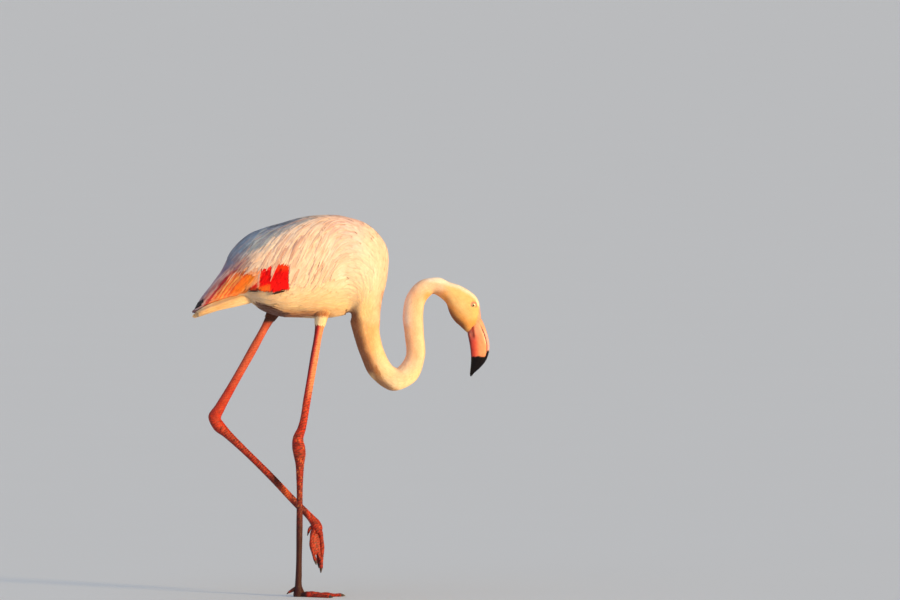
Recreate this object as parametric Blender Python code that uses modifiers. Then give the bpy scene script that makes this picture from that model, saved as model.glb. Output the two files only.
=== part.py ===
"""Greater flamingo, life size, wading: it stands on its right leg and swings the left one forward,
with the neck hooked down and the bill held near the water.

Metres, +Z up. The bird faces +X, its left side is +Y, and the origin is on the ground under the
standing leg. Every table below is a row of stations along the body, given by its real sizes there,
and a smooth curve through the rows makes the surface.
"""
import math

import bmesh
import bpy
import numpy as np

# ------------------------------------------------------------------ driving dimensions, in metres
GAP = 0.0003  # clearance between pieces that touch
BODY_SIDES = 24
NECK_SIDES = 18
LIMB_SIDES = 12
TAIL_SIDES = 16
TOE_SIDES = 8
CLAW_SIDES = 6
TRUNK_POWER = 2.15  # 2 is an ellipse, more is squarer

# x, underside height, back height, half width
TRUNK = [
    (-0.142, 0.632, 0.642, 0.007),
    (-0.132, 0.621, 0.662, 0.022),
    (-0.110, 0.603, 0.694, 0.041),
    (-0.080, 0.576, 0.725, 0.058),
    (-0.046, 0.561, 0.743, 0.070),
    (0.000, 0.559, 0.758, 0.078),
    (0.042, 0.557, 0.7638, 0.080),
    (0.072, 0.5595, 0.7642, 0.079),
]
# The chest turns down into the neck about this point, which lies just outside the throat of the bend.
CHEST_PIVOT = (0.090, 0.550)
# angle above the horizontal in degrees, distance to the inside, distance to the outside, half width
CHEST = [
    (90, 0.0130, 0.2120, 0.0775),
    (75, 0.0170, 0.2010, 0.0750),
    (60, 0.0220, 0.1745, 0.0685),
    (45, 0.0230, 0.1250, 0.0580),
    (30, 0.0190, 0.0910, 0.0450),
    (15, 0.0160, 0.0775, 0.0345),
    (0, 0.0145, 0.0740, 0.0300),
]
# x, height, thickness along the centre line of the neck, from the chest to the nape
NECK = [
    (0.137, 0.530, 0.053),
    (0.147, 0.492, 0.048),
    (0.166, 0.453, 0.047),
    (0.192, 0.4355, 0.047),
    (0.218, 0.446, 0.044),
    (0.2345, 0.480, 0.038),
    (0.2325, 0.527, 0.0385),
    (0.230, 0.566, 0.041),
    (0.236, 0.596, 0.0395),
    (0.254, 0.6175, 0.0365),
    (0.277, 0.6225, 0.0345),
]
NECK_WIDTH = 0.96  # width across the neck over its thickness
# throat x and height, crown x and height, half width
HEAD = [
    (0.2960, 0.5880, 0.3030, 0.6300, 0.0190),
    (0.3020, 0.5710, 0.3230, 0.6235, 0.0210),
    (0.3085, 0.5580, 0.3420, 0.6130, 0.0222),
    (0.3160, 0.5490, 0.3550, 0.6020, 0.0222),
    (0.3240, 0.5420, 0.3620, 0.5890, 0.0205),
    (0.3320, 0.5345, 0.3645, 0.5750, 0.0172),
    (0.3382, 0.5285, 0.3662, 0.5590, 0.0138),
]
HEAD_POWER = 2.0
# keel x and height, ridge x and height, half width, share of the depth that is the upper half
BILL = [
    (0.3384, 0.5280, 0.3664, 0.5584, 0.0130, 0.22),
    (0.3415, 0.5150, 0.3735, 0.5410, 0.0128, 0.20),
    (0.3440, 0.5010, 0.3790, 0.5240, 0.0125, 0.17),
    (0.3455, 0.4880, 0.3825, 0.5060, 0.0120, 0.15),
    (0.3460, 0.4760, 0.3815, 0.4880, 0.0112, 0.16),
    (0.3455, 0.4640, 0.3755, 0.4720, 0.0096, 0.20),
    (0.3445, 0.4535, 0.3640, 0.4580, 0.0068, 0.30),
    (0.3440, 0.4440, 0.3500, 0.4450, 0.0030, 0.45),
    (0.3445, 0.4410, 0.3475, 0.4415, 0.0016, 0.50),
]
BILL_POWER = 2.3
EYE_RADIUS = 0.0058
EYE_PLACE = (0.3515, 0.5840)  # x and height
EYE_PROUD = 0.0022  # how far the eyeball stands out of the cheek
HEAD_HALF_AT_EYE = 0.0168

# x, lower edge, upper edge, height of the widest line, half height, half width, depth of the shell
WING = [
    (0.134, 0.650, 0.690, 0.660, 0.094, 0.0755, 0.012),
    (0.112, 0.630, 0.715, 0.660, 0.100, 0.0798, 0.018),
    (0.050, 0.610, 0.738, 0.657, 0.106, 0.0865, 0.020),
    (0.000, 0.606, 0.742, 0.655, 0.1045, 0.0875, 0.020),
    (-0.050, 0.606, 0.737, 0.652, 0.0925, 0.0835, 0.022),
    (-0.092, 0.605, 0.7265, 0.643, 0.0855, 0.0710, 0.021),
    (-0.133, 0.600, 0.692, 0.622, 0.0700, 0.0520, 0.0080),
    (-0.155, 0.592, 0.652, 0.608, 0.0440, 0.0400, 0.0055),
    (-0.176, 0.582, 0.623, 0.594, 0.0290, 0.0285, 0.0040),
    (-0.196, 0.572, 0.597, 0.579, 0.0180, 0.0165, 0.0028),
    (-0.211, 0.5640, 0.5720, 0.5665, 0.0055, 0.0060, 0.0018),
]
WING_PARTING = 0.0006  # from the middle plane to the inner edge of a folded wing
# x, underside height, upper height, half width
TAIL = [
    (-0.070, 0.592, 0.616, 0.030),
    (-0.098, 0.5855, 0.612, 0.034),
    (-0.125, 0.5790, 0.603, 0.034),
    (-0.160, 0.5705, 0.5870, 0.030),
    (-0.195, 0.5600, 0.5690, 0.023),
    (-0.208, 0.5565, 0.5605, 0.014),
]
TAIL_POWER = 2.6

# Legs, from inside the flank to the sole: x, y, height, half thickness fore and aft, and across.
# The thigh ends where the bare skin starts, the shank at the ankle, and the tarsus at the toes' hub.
LEG_RIGHT = {
    "thigh": [
        (0.0560, -0.0420, 0.612, 0.0260, 0.0200),
        (0.0520, -0.0395, 0.590, 0.0240, 0.0190),
        (0.0475, -0.0370, 0.566, 0.0165, 0.0150),
        (0.0440, -0.0354, 0.5450, 0.0104, 0.0096),
    ],
    "shank": [
        (0.0320, -0.0295, 0.475, 0.0084, 0.0074),
        (0.0190, -0.0230, 0.400, 0.0078, 0.0070),
        (0.0075, -0.0172, 0.338, 0.0086, 0.0076),
        (0.0000, -0.0146, 0.316, 0.0112, 0.0094),
        (0.0012, -0.0138, 0.3000, 0.0134, 0.0106),
    ],
    "tarsus": [
        (0.0030, -0.0132, 0.286, 0.0126, 0.0102),
        (0.0036, -0.0124, 0.267, 0.0092, 0.0084),
        (0.0034, -0.0110, 0.238, 0.0070, 0.0066),
        (0.0028, -0.0064, 0.140, 0.0064, 0.0060),
        (0.0012, -0.0016, 0.045, 0.0064, 0.0062),
        (0.0006, 0.0000, 0.0200, 0.0076, 0.0076),
    ],
    "hub": [
        (0.0010, 0.0000, 0.0130, 0.0096, 0.0090),
        (0.0018, 0.0000, 0.0060, 0.0118, 0.0102),
        (0.0020, 0.0000, -0.0020, 0.0115, 0.0100),
    ],
}
LEG_LEFT = {
    "thigh": [
        (-0.0160, 0.0420, 0.630, 0.0260, 0.0200),
        (-0.0320, 0.0405, 0.602, 0.0230, 0.0185),
        (-0.0465, 0.0390, 0.574, 0.0160, 0.0145),
        (-0.0570, 0.0380, 0.5552, 0.0106, 0.0098),
    ],
    "shank": [
        (-0.0935, 0.0360, 0.489, 0.0086, 0.0076),
        (-0.1360, 0.0340, 0.414, 0.0088, 0.0076),
        (-0.1565, 0.0330, 0.378, 0.0106, 0.0090),
        (-0.1676, 0.0325, 0.3570, 0.0132, 0.0104),
    ],
    "tarsus": [
        (-0.1600, 0.0322, 0.3410, 0.0124, 0.0102),
        (-0.1440, 0.0318, 0.3255, 0.0094, 0.0088),
        (-0.1150, 0.0312, 0.2980, 0.0073, 0.0068),
        (-0.0560, 0.0304, 0.2400, 0.0070, 0.0062),
        (-0.0040, 0.0300, 0.1850, 0.0074, 0.0064),
        (0.0260, 0.0300, 0.1550, 0.0080, 0.0076),
    ],
    "hub": [
        (0.0345, 0.0300, 0.1440, 0.0102, 0.0094),
        (0.0380, 0.0300, 0.1340, 0.0110, 0.0098),
        (0.0385, 0.0300, 0.1250, 0.0075, 0.0080),
    ],
}

# Toes: name, turn from straight ahead in degrees, length, half thickness at the root and at the tip
TOES = [
    ("inner", 34, 0.068, 0.0058, 0.0030),
    ("middle", 0, 0.086, 0.0064, 0.0033),
    ("outer", -35, 0.077, 0.0060, 0.0031),
]
TOE_SINK = 0.80  # height of a toe's middle over its half thickness: the rest is planed flat
KNUCKLE_SWELL = 0.12
WEB_THICK = 0.0016
WEB_REACH = 0.90  # how far along the toes the web runs
WEB_SCALLOP = 0.17  # how deep its front edge curves back between the toes
WEB_HEIGHT = 0.0026
HIND_TOE = [
    (-0.0050, 0.0000, 0.0160, 0.0042),
    (-0.0115, 0.0000, 0.0125, 0.0036),
    (-0.0185, 0.0000, 0.0085, 0.0024),
]
CLAW_LENGTH = 0.009
HIND_CLAW_LENGTH = 0.006

# Folded toes of the raised foot: x, y and height of three points from the joint to the tip
FOLDED_JOINT = (0.0365, 0.0300, 0.1390)
FOLDED_TOES = {
    "inner": [(0.0300, 0.0255, 0.1280), (0.0265, 0.0200, 0.1020), (0.0340, 0.0215, 0.0710)],
    "middle": [(0.0420, 0.0300, 0.1300), (0.0475, 0.0300, 0.0980), (0.0455, 0.0290, 0.0550)],
    "outer": [(0.0360, 0.0350, 0.1280), (0.0375, 0.0400, 0.0990), (0.0405, 0.0375, 0.0640)],
}
FOLDED_HIND = [
    (0.0290, 0.0300, 0.1390, 0.0042),
    (0.0230, 0.0300, 0.1340, 0.0034),
    (0.0200, 0.0300, 0.1260, 0.0023),
]

COLOURS = {
    "plumage": ((0.86, 0.71, 0.60), 0.75),
    "wing_plumage": ((0.86, 0.42, 0.33), 0.70),
    "leg_skin": ((0.80, 0.18, 0.10), 0.45),
    "bill_horn": ((0.84, 0.32, 0.22), 0.35),
    "claw_horn": ((0.10, 0.07, 0.06), 0.40),
    "eye": ((0.90, 0.78, 0.35), 0.10),
}


# --------------------------------------------------------------------------------- curves and rings
def smooth(rows, steps):
    """Rows on a cubic curve through the control rows, `steps` of them to each interval."""
    rows = np.array(rows, float)
    knots = np.concatenate([[0.0], np.cumsum(np.linalg.norm(np.diff(rows[:, :4], axis=0), axis=1))])
    slopes = np.gradient(rows, knots, axis=0)
    part = np.append(np.arange(len(rows) - 1).repeat(steps), len(rows) - 2)
    share = np.append(np.tile(np.arange(steps) / steps, len(rows) - 1), 1.0)[:, None]
    span = np.diff(knots)[part][:, None]
    low, high = rows[part], rows[part + 1]
    return (
        low * (1 + 2 * share) * (1 - share) ** 2
        + slopes[part] * span * share * (1 - share) ** 2
        + high * share**2 * (3 - 2 * share)
        + slopes[part + 1] * span * share**2 * (share - 1)
    )


def superellipse(turns, power):
    """Cosine and sine of the turns, squared off by the power."""
    cosine, sine = np.cos(turns), np.sin(turns)
    return (
        np.sign(cosine) * np.abs(cosine) ** (2 / power),
        np.sign(sine) * np.abs(sine) ** (2 / power),
    )


def ribs(stations, sides, power, grow=0.0):
    """Rings in planes that hold the Y direction, each round a line from the inside to the outside."""
    inside, outside, half = stations[:, 0:2], stations[:, 2:4], stations[:, 4]
    middle, arm = (inside + outside) / 2, (outside - inside) / 2
    arm = arm * (1 + grow / np.linalg.norm(arm, axis=1))[:, None]
    along, across = superellipse(2 * math.pi * np.arange(sides) / sides, power)
    flat = middle[:, None, :] + arm[:, None, :] * along[None, :, None]
    side = (half + grow)[:, None] * across[None, :]
    return np.stack([flat[:, :, 0], side, flat[:, :, 1]], axis=2)


def limb_rings(rows, sides):
    """Rings square to a path in space, with their own half thickness fore and aft, and across."""
    centres = rows[:, :3]
    ahead = np.gradient(centres, axis=0)
    ahead /= np.linalg.norm(ahead, axis=1)[:, None]
    across = np.array([0.0, 1.0, 0.0]) - ahead[:, 1:2] * ahead
    across /= np.linalg.norm(across, axis=1)[:, None]
    fore = np.cross(ahead, across)
    turns = 2 * math.pi * np.arange(sides) / sides
    return (
        centres[:, None]
        + fore[:, None] * (rows[:, 3:4] * np.cos(turns))[:, :, None]
        + across[:, None] * (rows[:, -1:] * np.sin(turns))[:, :, None]
    )


# ------------------------------------------------------------------------------- objects and cutting
def clear_scene():
    for thing in list(bpy.data.objects):
        bpy.data.objects.remove(thing, do_unlink=True)


def collection(name):
    made = bpy.data.collections.new(name)
    bpy.context.scene.collection.children.link(made)
    return made


def material(name):
    colour, roughness = COLOURS[name]
    made = bpy.data.materials.get(name) or bpy.data.materials.new(name)
    made.use_nodes = True
    shader = made.node_tree.nodes["Principled BSDF"]
    shader.inputs["Base Color"].default_value = (*colour, 1.0)
    shader.inputs["Roughness"].default_value = roughness
    return made


def add_object(name, shape, finish):
    """A smooth-shaded object in the parts collection, from a bmesh."""
    bmesh.ops.recalc_face_normals(shape, faces=shape.faces)
    mesh = bpy.data.meshes.new(name)
    shape.to_mesh(mesh)
    shape.free()
    mesh.materials.append(material(finish))
    mesh.shade_smooth()
    made = bpy.data.objects.new(name, mesh)
    parts.objects.link(made)
    return made


def loft(name, rings, finish):
    """A closed surface through rings of equal length, with a flat cap on each end."""
    shape = bmesh.new()
    rows = [[shape.verts.new(point) for point in ring] for ring in rings]
    for near, far in zip(rows, rows[1:]):
        for k in range(len(near)):
            shape.faces.new((near[k - 1], near[k], far[k], far[k - 1]))
    shape.faces.new(rows[0])
    shape.faces.new(rows[-1])
    return add_object(name, shape, finish)


def make_cutter(tool):
    """Moves an object to the cutters, where it is drawn as wire and left out of the model."""
    parts.objects.unlink(tool)
    cutters.objects.link(tool)
    tool.display_type = "WIRE"
    tool.hide_render = True
    return tool


def boolean(target, tool, operation):
    """Cuts or joins the target with the tool, and keeps the result as its mesh."""
    step = target.modifiers.new(operation.title(), "BOOLEAN")
    step.operation = operation
    step.object = tool
    step.solver = "EXACT"
    bpy.context.view_layer.update()
    done = bpy.data.meshes.new_from_object(target.evaluated_get(bpy.context.evaluated_depsgraph_get()))
    target.modifiers.remove(step)
    target.data = done


def join(target, *tools):
    for tool in tools:
        boolean(target, tool, "UNION")
        bpy.data.objects.remove(tool, do_unlink=True)


# ------------------------------------------------------------------------------ trunk, neck and head
def trunk_rows():
    return [(x, low, x, high, half) for x, low, high, half in TRUNK]


def chest_rows():
    """The chest's stations, as rays about the pivot."""
    rows = []
    for degrees, near, far, half in CHEST:
        turn = math.radians(degrees)
        ray = np.array([math.cos(turn), math.sin(turn)])
        rows.append((*(CHEST_PIVOT + near * ray), *(CHEST_PIVOT + far * ray), half))
    return rows


def neck_rows():
    """The neck's stations, square to its centre line, with the chest's and the head's as neighbours."""
    before = np.mean(np.array(chest_rows()[-1][:4]).reshape(2, 2), axis=0)
    after = np.mean(np.array(HEAD[0][:4]).reshape(2, 2), axis=0)
    centres = np.array([before] + [row[:2] for row in NECK] + [after])
    ahead = centres[2:] - centres[:-2]
    ahead /= np.linalg.norm(ahead, axis=1)[:, None]
    outward = np.stack([-ahead[:, 1], ahead[:, 0]], axis=1)
    rows = []
    for centre, side, (_, _, thick) in zip(centres[1:-1], outward, NECK):
        rows.append((*(centre - side * thick / 2), *(centre + side * thick / 2), NECK_WIDTH * thick / 2))
    return rows


def body_lengths():
    """Where the body is parted: name of each length, its last control row, and its squareness."""
    chest_end = len(TRUNK) + 5  # the ray at 15 degrees
    first_neck = len(TRUNK) + len(CHEST)
    return [
        ("trunk", chest_end, TRUNK_POWER),
        ("neck_1", first_neck + 1, 2.0),
        ("neck_2", first_neck + 3, 2.0),
        ("neck_3", first_neck + 5, 2.0),
        ("neck_4", first_neck + 7, 2.0),
        ("neck_5", first_neck + 9, 2.0),
        ("neck_6", first_neck + len(NECK), 2.0),
        ("head", first_neck + len(NECK) + len(HEAD) - 1, HEAD_POWER),
    ]


def make_body(steps=2):
    """Trunk, neck lengths and head as one surface, parted by thin flat cuts. Returns the trunk's rows."""
    stations = smooth(trunk_rows() + chest_rows() + neck_rows() + HEAD, steps)
    start = 0
    trunk_stations = None
    for name, last, power in body_lengths():
        piece = stations[start : last * steps + 1].copy()
        if start:
            middles = (piece[:, 0:2] + piece[:, 2:4]) / 2
            step = (middles[1] - middles[0]) / np.linalg.norm(middles[1] - middles[0])
            piece[0, 0:2] += GAP * step
            piece[0, 2:4] += GAP * step
        else:
            trunk_stations = piece
        sides = BODY_SIDES if name in ("trunk", "head") else NECK_SIDES
        loft(name, ribs(piece, sides, power), "plumage")
        start = last * steps
    return trunk_stations


def make_bill():
    """Each section is one squared ellipse, parted along the gape into a deep trough and its thin lid."""
    rows = smooth(BILL, 2)
    count = 9
    for name, side in (("bill_lower", -1), ("bill_upper", 1)):
        rings = []
        for keel_x, keel_z, ridge_x, ridge_z, half, share in rows:
            keel, ridge = np.array([keel_x, keel_z]), np.array([ridge_x, ridge_z])
            middle, arm = (keel + ridge) / 2, (ridge - keel) / 2
            level = 1 - 2 * share + side * GAP / 2 / np.linalg.norm(arm)
            gape = math.acos(math.copysign(abs(level) ** (BILL_POWER / 2), level))
            if side > 0:
                turns = np.linspace(-gape, gape, count)
            else:
                turns = np.linspace(gape, 2 * math.pi - gape, count + 4)
            along, across = superellipse(turns, BILL_POWER)
            flat = middle + arm * along[:, None]
            rings.append(np.stack([flat[:, 0], half * across, flat[:, 1]], axis=1))
        loft(name, rings, "bill_horn")


def make_eyes():
    """A ball set in a pocket of the head on each side."""
    for name, side in (("eye_right", -1), ("eye_left", 1)):
        for radius, label in ((EYE_RADIUS + GAP, "socket_" + name), (EYE_RADIUS, name)):
            shape = bmesh.new()
            bmesh.ops.create_uvsphere(shape, u_segments=12, v_segments=7, radius=radius)
            depth = HEAD_HALF_AT_EYE + EYE_PROUD - EYE_RADIUS
            bmesh.ops.translate(shape, verts=shape.verts, vec=(EYE_PLACE[0], side * depth, EYE_PLACE[1]))
            ball = add_object(label, shape, "eye")
            if label != name:
                boolean(bpy.data.objects["head"], make_cutter(ball), "DIFFERENCE")


# ------------------------------------------------------------------------------------ wings and tail
def make_wing(name, side, trimmer):
    """A folded wing: a curved shell that lies on the flank and runs back past the rump to its tip."""
    count = 8
    rings = []
    for x, low, high, widest, half_height, half_width, depth in smooth(WING, 2):
        top = math.acos(min((high - widest) / half_height, 0.9998))
        bottom = math.acos((low - widest) / half_height)
        turns = np.linspace(top, bottom, count)
        outer = np.stack([half_width * np.sin(turns), widest + half_height * np.cos(turns)], axis=1)
        keep_width = max(1 - depth / half_width, 0.25)
        keep_height = max(1 - depth / half_height, 0.25)
        inner = np.stack(
            [keep_width * half_width * np.sin(turns), widest + keep_height * half_height * np.cos(turns)],
            axis=1,
        )[::-1]
        flat = np.concatenate([outer, inner])
        rings.append(np.stack([np.full(len(flat), x), side * (flat[:, 0] + WING_PARTING), flat[:, 1]], axis=1))
    wing = loft(name, rings, "wing_plumage")
    boolean(wing, trimmer, "DIFFERENCE")


def make_tail(trimmer):
    rows = np.array([(x, low, x, high, half) for x, low, high, half in TAIL])
    tail = loft("tail", ribs(smooth(rows, 2), TAIL_SIDES, TAIL_POWER), "plumage")
    boolean(tail, trimmer, "DIFFERENCE")


# -------------------------------------------------------------------------------------- legs and feet
def make_leg(side_name, leg, trimmer, steps=2):
    """One path from the flank to the toes, parted by thin flat cuts. Returns the hub's rings."""
    rings = limb_rings(smooth([row for length in leg.values() for row in length], steps), LIMB_SIDES)
    start, last = 0, -1
    for length, rows in leg.items():
        last += len(rows)
        piece = rings[start : last * steps + 1].copy()
        if start:
            step = np.mean(piece[1] - piece[0], axis=0)
            piece[0] += GAP * step / np.linalg.norm(step)
        start = last * steps
        if length == "hub":
            return piece
        made = loft(length + "_" + side_name, piece, "plumage" if length == "thigh" else "leg_skin")
        if length == "thigh":
            boolean(made, trimmer, "DIFFERENCE")


def toe_rows(points, root, tip, steps=4):
    """A toe's path with its half thickness, which swells at the knuckles and thins to the tip."""
    path = smooth([(*point, 0.0) for point in points], steps)[:, :3]
    share = np.linspace(0, 1, len(path))
    thick = root + (tip - root) * share
    thick *= 1 + KNUCKLE_SWELL * np.cos(2 * math.pi * 3 * share)
    return np.column_stack([path, thick, thick])


def make_web(name, near, far):
    """A thin sheet between two toes, from the joint out to a front edge that curves back."""
    shape = bmesh.new()
    across = np.linspace(0, 1, 6)
    rows = []
    for share in np.linspace(0.12, WEB_REACH, 5):
        pull = 1 - WEB_SCALLOP * share * 4 * across * (1 - across)
        a, b = (toe_point(toe, share * pull) for toe in (near, far))
        row = a * (1 - across)[:, None] + b * across[:, None]
        rows.append([shape.verts.new(point) for point in row])
    for low, high in zip(rows, rows[1:]):
        for k in range(len(low) - 1):
            shape.faces.new((low[k], low[k + 1], high[k + 1], high[k]))
    web = add_object(name, shape, "leg_skin")
    shell = web.modifiers.new("Shell", "SOLIDIFY")
    shell.thickness = WEB_THICK
    shell.offset = 0.0
    bpy.context.view_layer.update()
    web.data = bpy.data.meshes.new_from_object(web.evaluated_get(bpy.context.evaluated_depsgraph_get()))
    web.modifiers.clear()
    return web


def toe_point(rows, shares):
    """Points along a toe at the given shares of its length."""
    at = np.linspace(0, 1, len(rows))
    return np.stack([np.interp(shares, at, rows[:, k]) for k in range(3)], axis=-1)


def make_claw(name, toe, length, drop):
    """A short blunt nail that carries on from the toe's end and bends down a little."""
    ahead = toe[-1, :3] - toe[-2, :3]
    ahead /= np.linalg.norm(ahead)
    start = toe[-1, :3] + GAP * ahead
    rows = []
    for share in np.linspace(0, 1, 4):
        centre = start + ahead * length * share - np.array([0, 0, drop]) * share**2
        thick = toe[-1, 3] * 0.82 * (1 - 0.8 * share**1.5)
        rows.append((*centre, thick, thick))
    loft(name, limb_rings(np.array(rows), CLAW_SIDES), "claw_horn")


def make_foot(side_name, hub, toes, hind, web_drop):
    """Toes, webs and hind toe joined into one body, with its claws as pieces of their own."""
    foot = loft("foot_" + side_name, hub, "leg_skin")
    lowered = []
    for toe in toes:
        low = toe.copy()
        low[:, 2] = np.where(web_drop, WEB_HEIGHT, toe[:, 2])
        lowered.append(low)
    webs = [make_web("web_%d" % k, lowered[k], lowered[k + 1]) for k in range(len(toes) - 1)]
    hind_rows = smooth(hind, 2)
    bones = [loft("bone_%d" % k, limb_rings(toe, TOE_SIDES), "leg_skin") for k, toe in enumerate(toes)]
    bones.append(loft("bone_hind", limb_rings(hind_rows, TOE_SIDES), "leg_skin"))
    join(foot, *bones, *webs)
    for (label, *_), toe in zip(TOES, toes):
        make_claw("claw_%s_%s" % (label, side_name), toe, CLAW_LENGTH, 0.0012)
    make_claw("claw_hind_" + side_name, hind_rows, HIND_CLAW_LENGTH, 0.0015)
    return foot


def make_standing_foot(hub):
    """The foot lies flat: what would be below the ground is planed away."""
    toes = []
    for _, degrees, length, root, tip in TOES:
        turn = math.radians(degrees)
        ahead = np.array([math.cos(turn), math.sin(turn)])
        rows = toe_rows([(*(ahead * length * share), 0.0) for share in (0.0, 0.5, 1.0)], root, tip)
        rows[:, 2] = TOE_SINK * rows[:, 3]
        toes.append(rows)
    foot = make_foot("right", hub, toes, HIND_TOE, True)
    shape = bmesh.new()
    bmesh.ops.create_cube(shape, size=0.4)
    bmesh.ops.translate(shape, verts=shape.verts, vec=(0, 0, -0.2))
    boolean(foot, make_cutter(add_object("ground", shape, "claw_horn")), "DIFFERENCE")


def make_raised_foot(hub):
    """The same foot with its toes drawn together and hanging."""
    toes = [toe_rows([FOLDED_JOINT] + FOLDED_TOES[label], root, tip, 3) for label, _, _, root, tip in TOES]
    make_foot("left", hub, toes, FOLDED_HIND, False)


# ----------------------------------------------------------------------------------------------- build
clear_scene()
parts = collection("flamingo")
cutters = collection("cutters")

trunk_stations = make_body()
trimmer = make_cutter(loft("trunk_trimmer", ribs(trunk_stations, BODY_SIDES, TRUNK_POWER, GAP), "plumage"))
make_bill()
make_eyes()
make_wing("wing_right", -1, trimmer)
make_wing("wing_left", 1, trimmer)
make_tail(trimmer)
make_standing_foot(make_leg("right", LEG_RIGHT, trimmer))
make_raised_foot(make_leg("left", LEG_LEFT, trimmer))
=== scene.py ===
"""Looks of a life-size greater flamingo: one skin, a coat of feathers, bill, eyes and claws.

Metres, +Z up, the bird faces +X and its left side is +Y. The skin and the coat are laid out on the
same surfaces: each is a row of stations, and a station is a line from the inside to the outside of
a body part with a half width, round which a squared ellipse is drawn.
"""
import math

import bpy
import numpy as np
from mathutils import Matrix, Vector


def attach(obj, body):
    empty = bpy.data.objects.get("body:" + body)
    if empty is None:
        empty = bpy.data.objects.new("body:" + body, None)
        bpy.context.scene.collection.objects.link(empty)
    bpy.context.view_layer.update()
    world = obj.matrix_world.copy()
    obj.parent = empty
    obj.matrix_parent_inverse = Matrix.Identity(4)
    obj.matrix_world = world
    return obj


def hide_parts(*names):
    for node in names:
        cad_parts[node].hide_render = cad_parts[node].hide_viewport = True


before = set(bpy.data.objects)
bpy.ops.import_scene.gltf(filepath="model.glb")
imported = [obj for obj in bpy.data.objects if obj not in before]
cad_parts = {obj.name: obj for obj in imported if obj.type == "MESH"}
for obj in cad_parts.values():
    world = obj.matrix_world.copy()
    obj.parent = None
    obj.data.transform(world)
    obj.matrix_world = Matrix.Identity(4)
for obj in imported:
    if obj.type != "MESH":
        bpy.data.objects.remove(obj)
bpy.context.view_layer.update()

# ------------------------------------------------------------------------------------ sizes, metres
# x, underside height, back height, half width over the folded wings, depth of the coat
TRUNK = [
    (-0.2090, 0.5645, 0.5735, 0.0070, 0.0030),
    (-0.1960, 0.5680, 0.5980, 0.0180, 0.0060),
    (-0.1760, 0.5760, 0.6240, 0.0290, 0.0080),
    (-0.1550, 0.5840, 0.6530, 0.0410, 0.0080),
    (-0.1330, 0.5900, 0.6930, 0.0530, 0.0060),
    (-0.1000, 0.5900, 0.7245, 0.0680, 0.0040),
    (-0.0700, 0.5720, 0.7375, 0.0780, 0.0032),
    (-0.0300, 0.5600, 0.7490, 0.0850, 0.0030),
    (0.0000, 0.5590, 0.7580, 0.0870, 0.0028),
    (0.0420, 0.5570, 0.7638, 0.0865, 0.0026),
    (0.0720, 0.5595, 0.7642, 0.0835, 0.0025),
]
# The chest turns down into the neck about this point.
CHEST_PIVOT = (0.090, 0.550)
# degrees above the horizontal, distance to the inside, distance to the outside, half width, coat
CHEST = [
    (90, 0.0130, 0.2120, 0.0810, 0.0024),
    (75, 0.0170, 0.2010, 0.0770, 0.0022),
    (60, 0.0220, 0.1745, 0.0690, 0.0020),
    (45, 0.0230, 0.1250, 0.0580, 0.0019),
    (30, 0.0190, 0.0910, 0.0450, 0.0017),
    (15, 0.0160, 0.0775, 0.0345, 0.0015),
    (0, 0.0145, 0.0740, 0.0300, 0.0014),
]
# x, height and thickness along the middle of the neck, down from the chest and up to the nape
NECK = [
    (0.1370, 0.5300, 0.0530),
    (0.1470, 0.4920, 0.0480),
    (0.1660, 0.4530, 0.0470),
    (0.1920, 0.4355, 0.0470),
    (0.2180, 0.4460, 0.0440),
    (0.2345, 0.4800, 0.0380),
    (0.2325, 0.5270, 0.0385),
    (0.2300, 0.5660, 0.0410),
    (0.2360, 0.5960, 0.0395),
    (0.2540, 0.6175, 0.0365),
    (0.2770, 0.6225, 0.0345),
]
NECK_WIDTH = 0.96
NECK_COAT = 0.0012
# throat x and height, crown x and height, half width, coat
HEAD = [
    (0.2960, 0.5880, 0.3030, 0.6300, 0.0190, 0.0015),
    (0.3020, 0.5710, 0.3230, 0.6235, 0.0210, 0.0013),
    (0.3085, 0.5580, 0.3420, 0.6130, 0.0222, 0.0011),
    (0.3160, 0.5490, 0.3550, 0.6020, 0.0222, 0.0009),
    (0.3240, 0.5420, 0.3620, 0.5890, 0.0205, 0.0007),
    (0.3320, 0.5345, 0.3645, 0.5750, 0.0172, 0.0006),
    (0.3382, 0.5285, 0.3662, 0.5590, 0.0138, 0.0005),
]
TAIL = [
    (-0.2080, 0.5560, 0.5670, 0.0140, 0.0015),
    (-0.1950, 0.5597, 0.5780, 0.0225, 0.0025),
    (-0.1600, 0.5705, 0.5950, 0.0300, 0.0040),
    (-0.1250, 0.5790, 0.6080, 0.0350, 0.0050),
    (-0.0980, 0.5855, 0.6150, 0.0360, 0.0060),
    (-0.0700, 0.5920, 0.6180, 0.0320, 0.0060),
]
# keel x and height, ridge x and height, half width, share of the depth that is the upper half
BILL = [
    (0.3384, 0.5280, 0.3664, 0.5584, 0.0130, 0.20),
    (0.3415, 0.5150, 0.3735, 0.5410, 0.0128, 0.17),
    (0.3440, 0.5010, 0.3790, 0.5240, 0.0125, 0.14),
    (0.3455, 0.4880, 0.3825, 0.5060, 0.0120, 0.125),
    (0.3460, 0.4760, 0.3815, 0.4880, 0.0112, 0.14),
    (0.3455, 0.4640, 0.3755, 0.4720, 0.0096, 0.20),
    (0.3445, 0.4535, 0.3640, 0.4580, 0.0068, 0.30),
    (0.3440, 0.4440, 0.3500, 0.4450, 0.0030, 0.45),
    (0.3445, 0.4410, 0.3475, 0.4415, 0.0016, 0.50),
]
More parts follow.
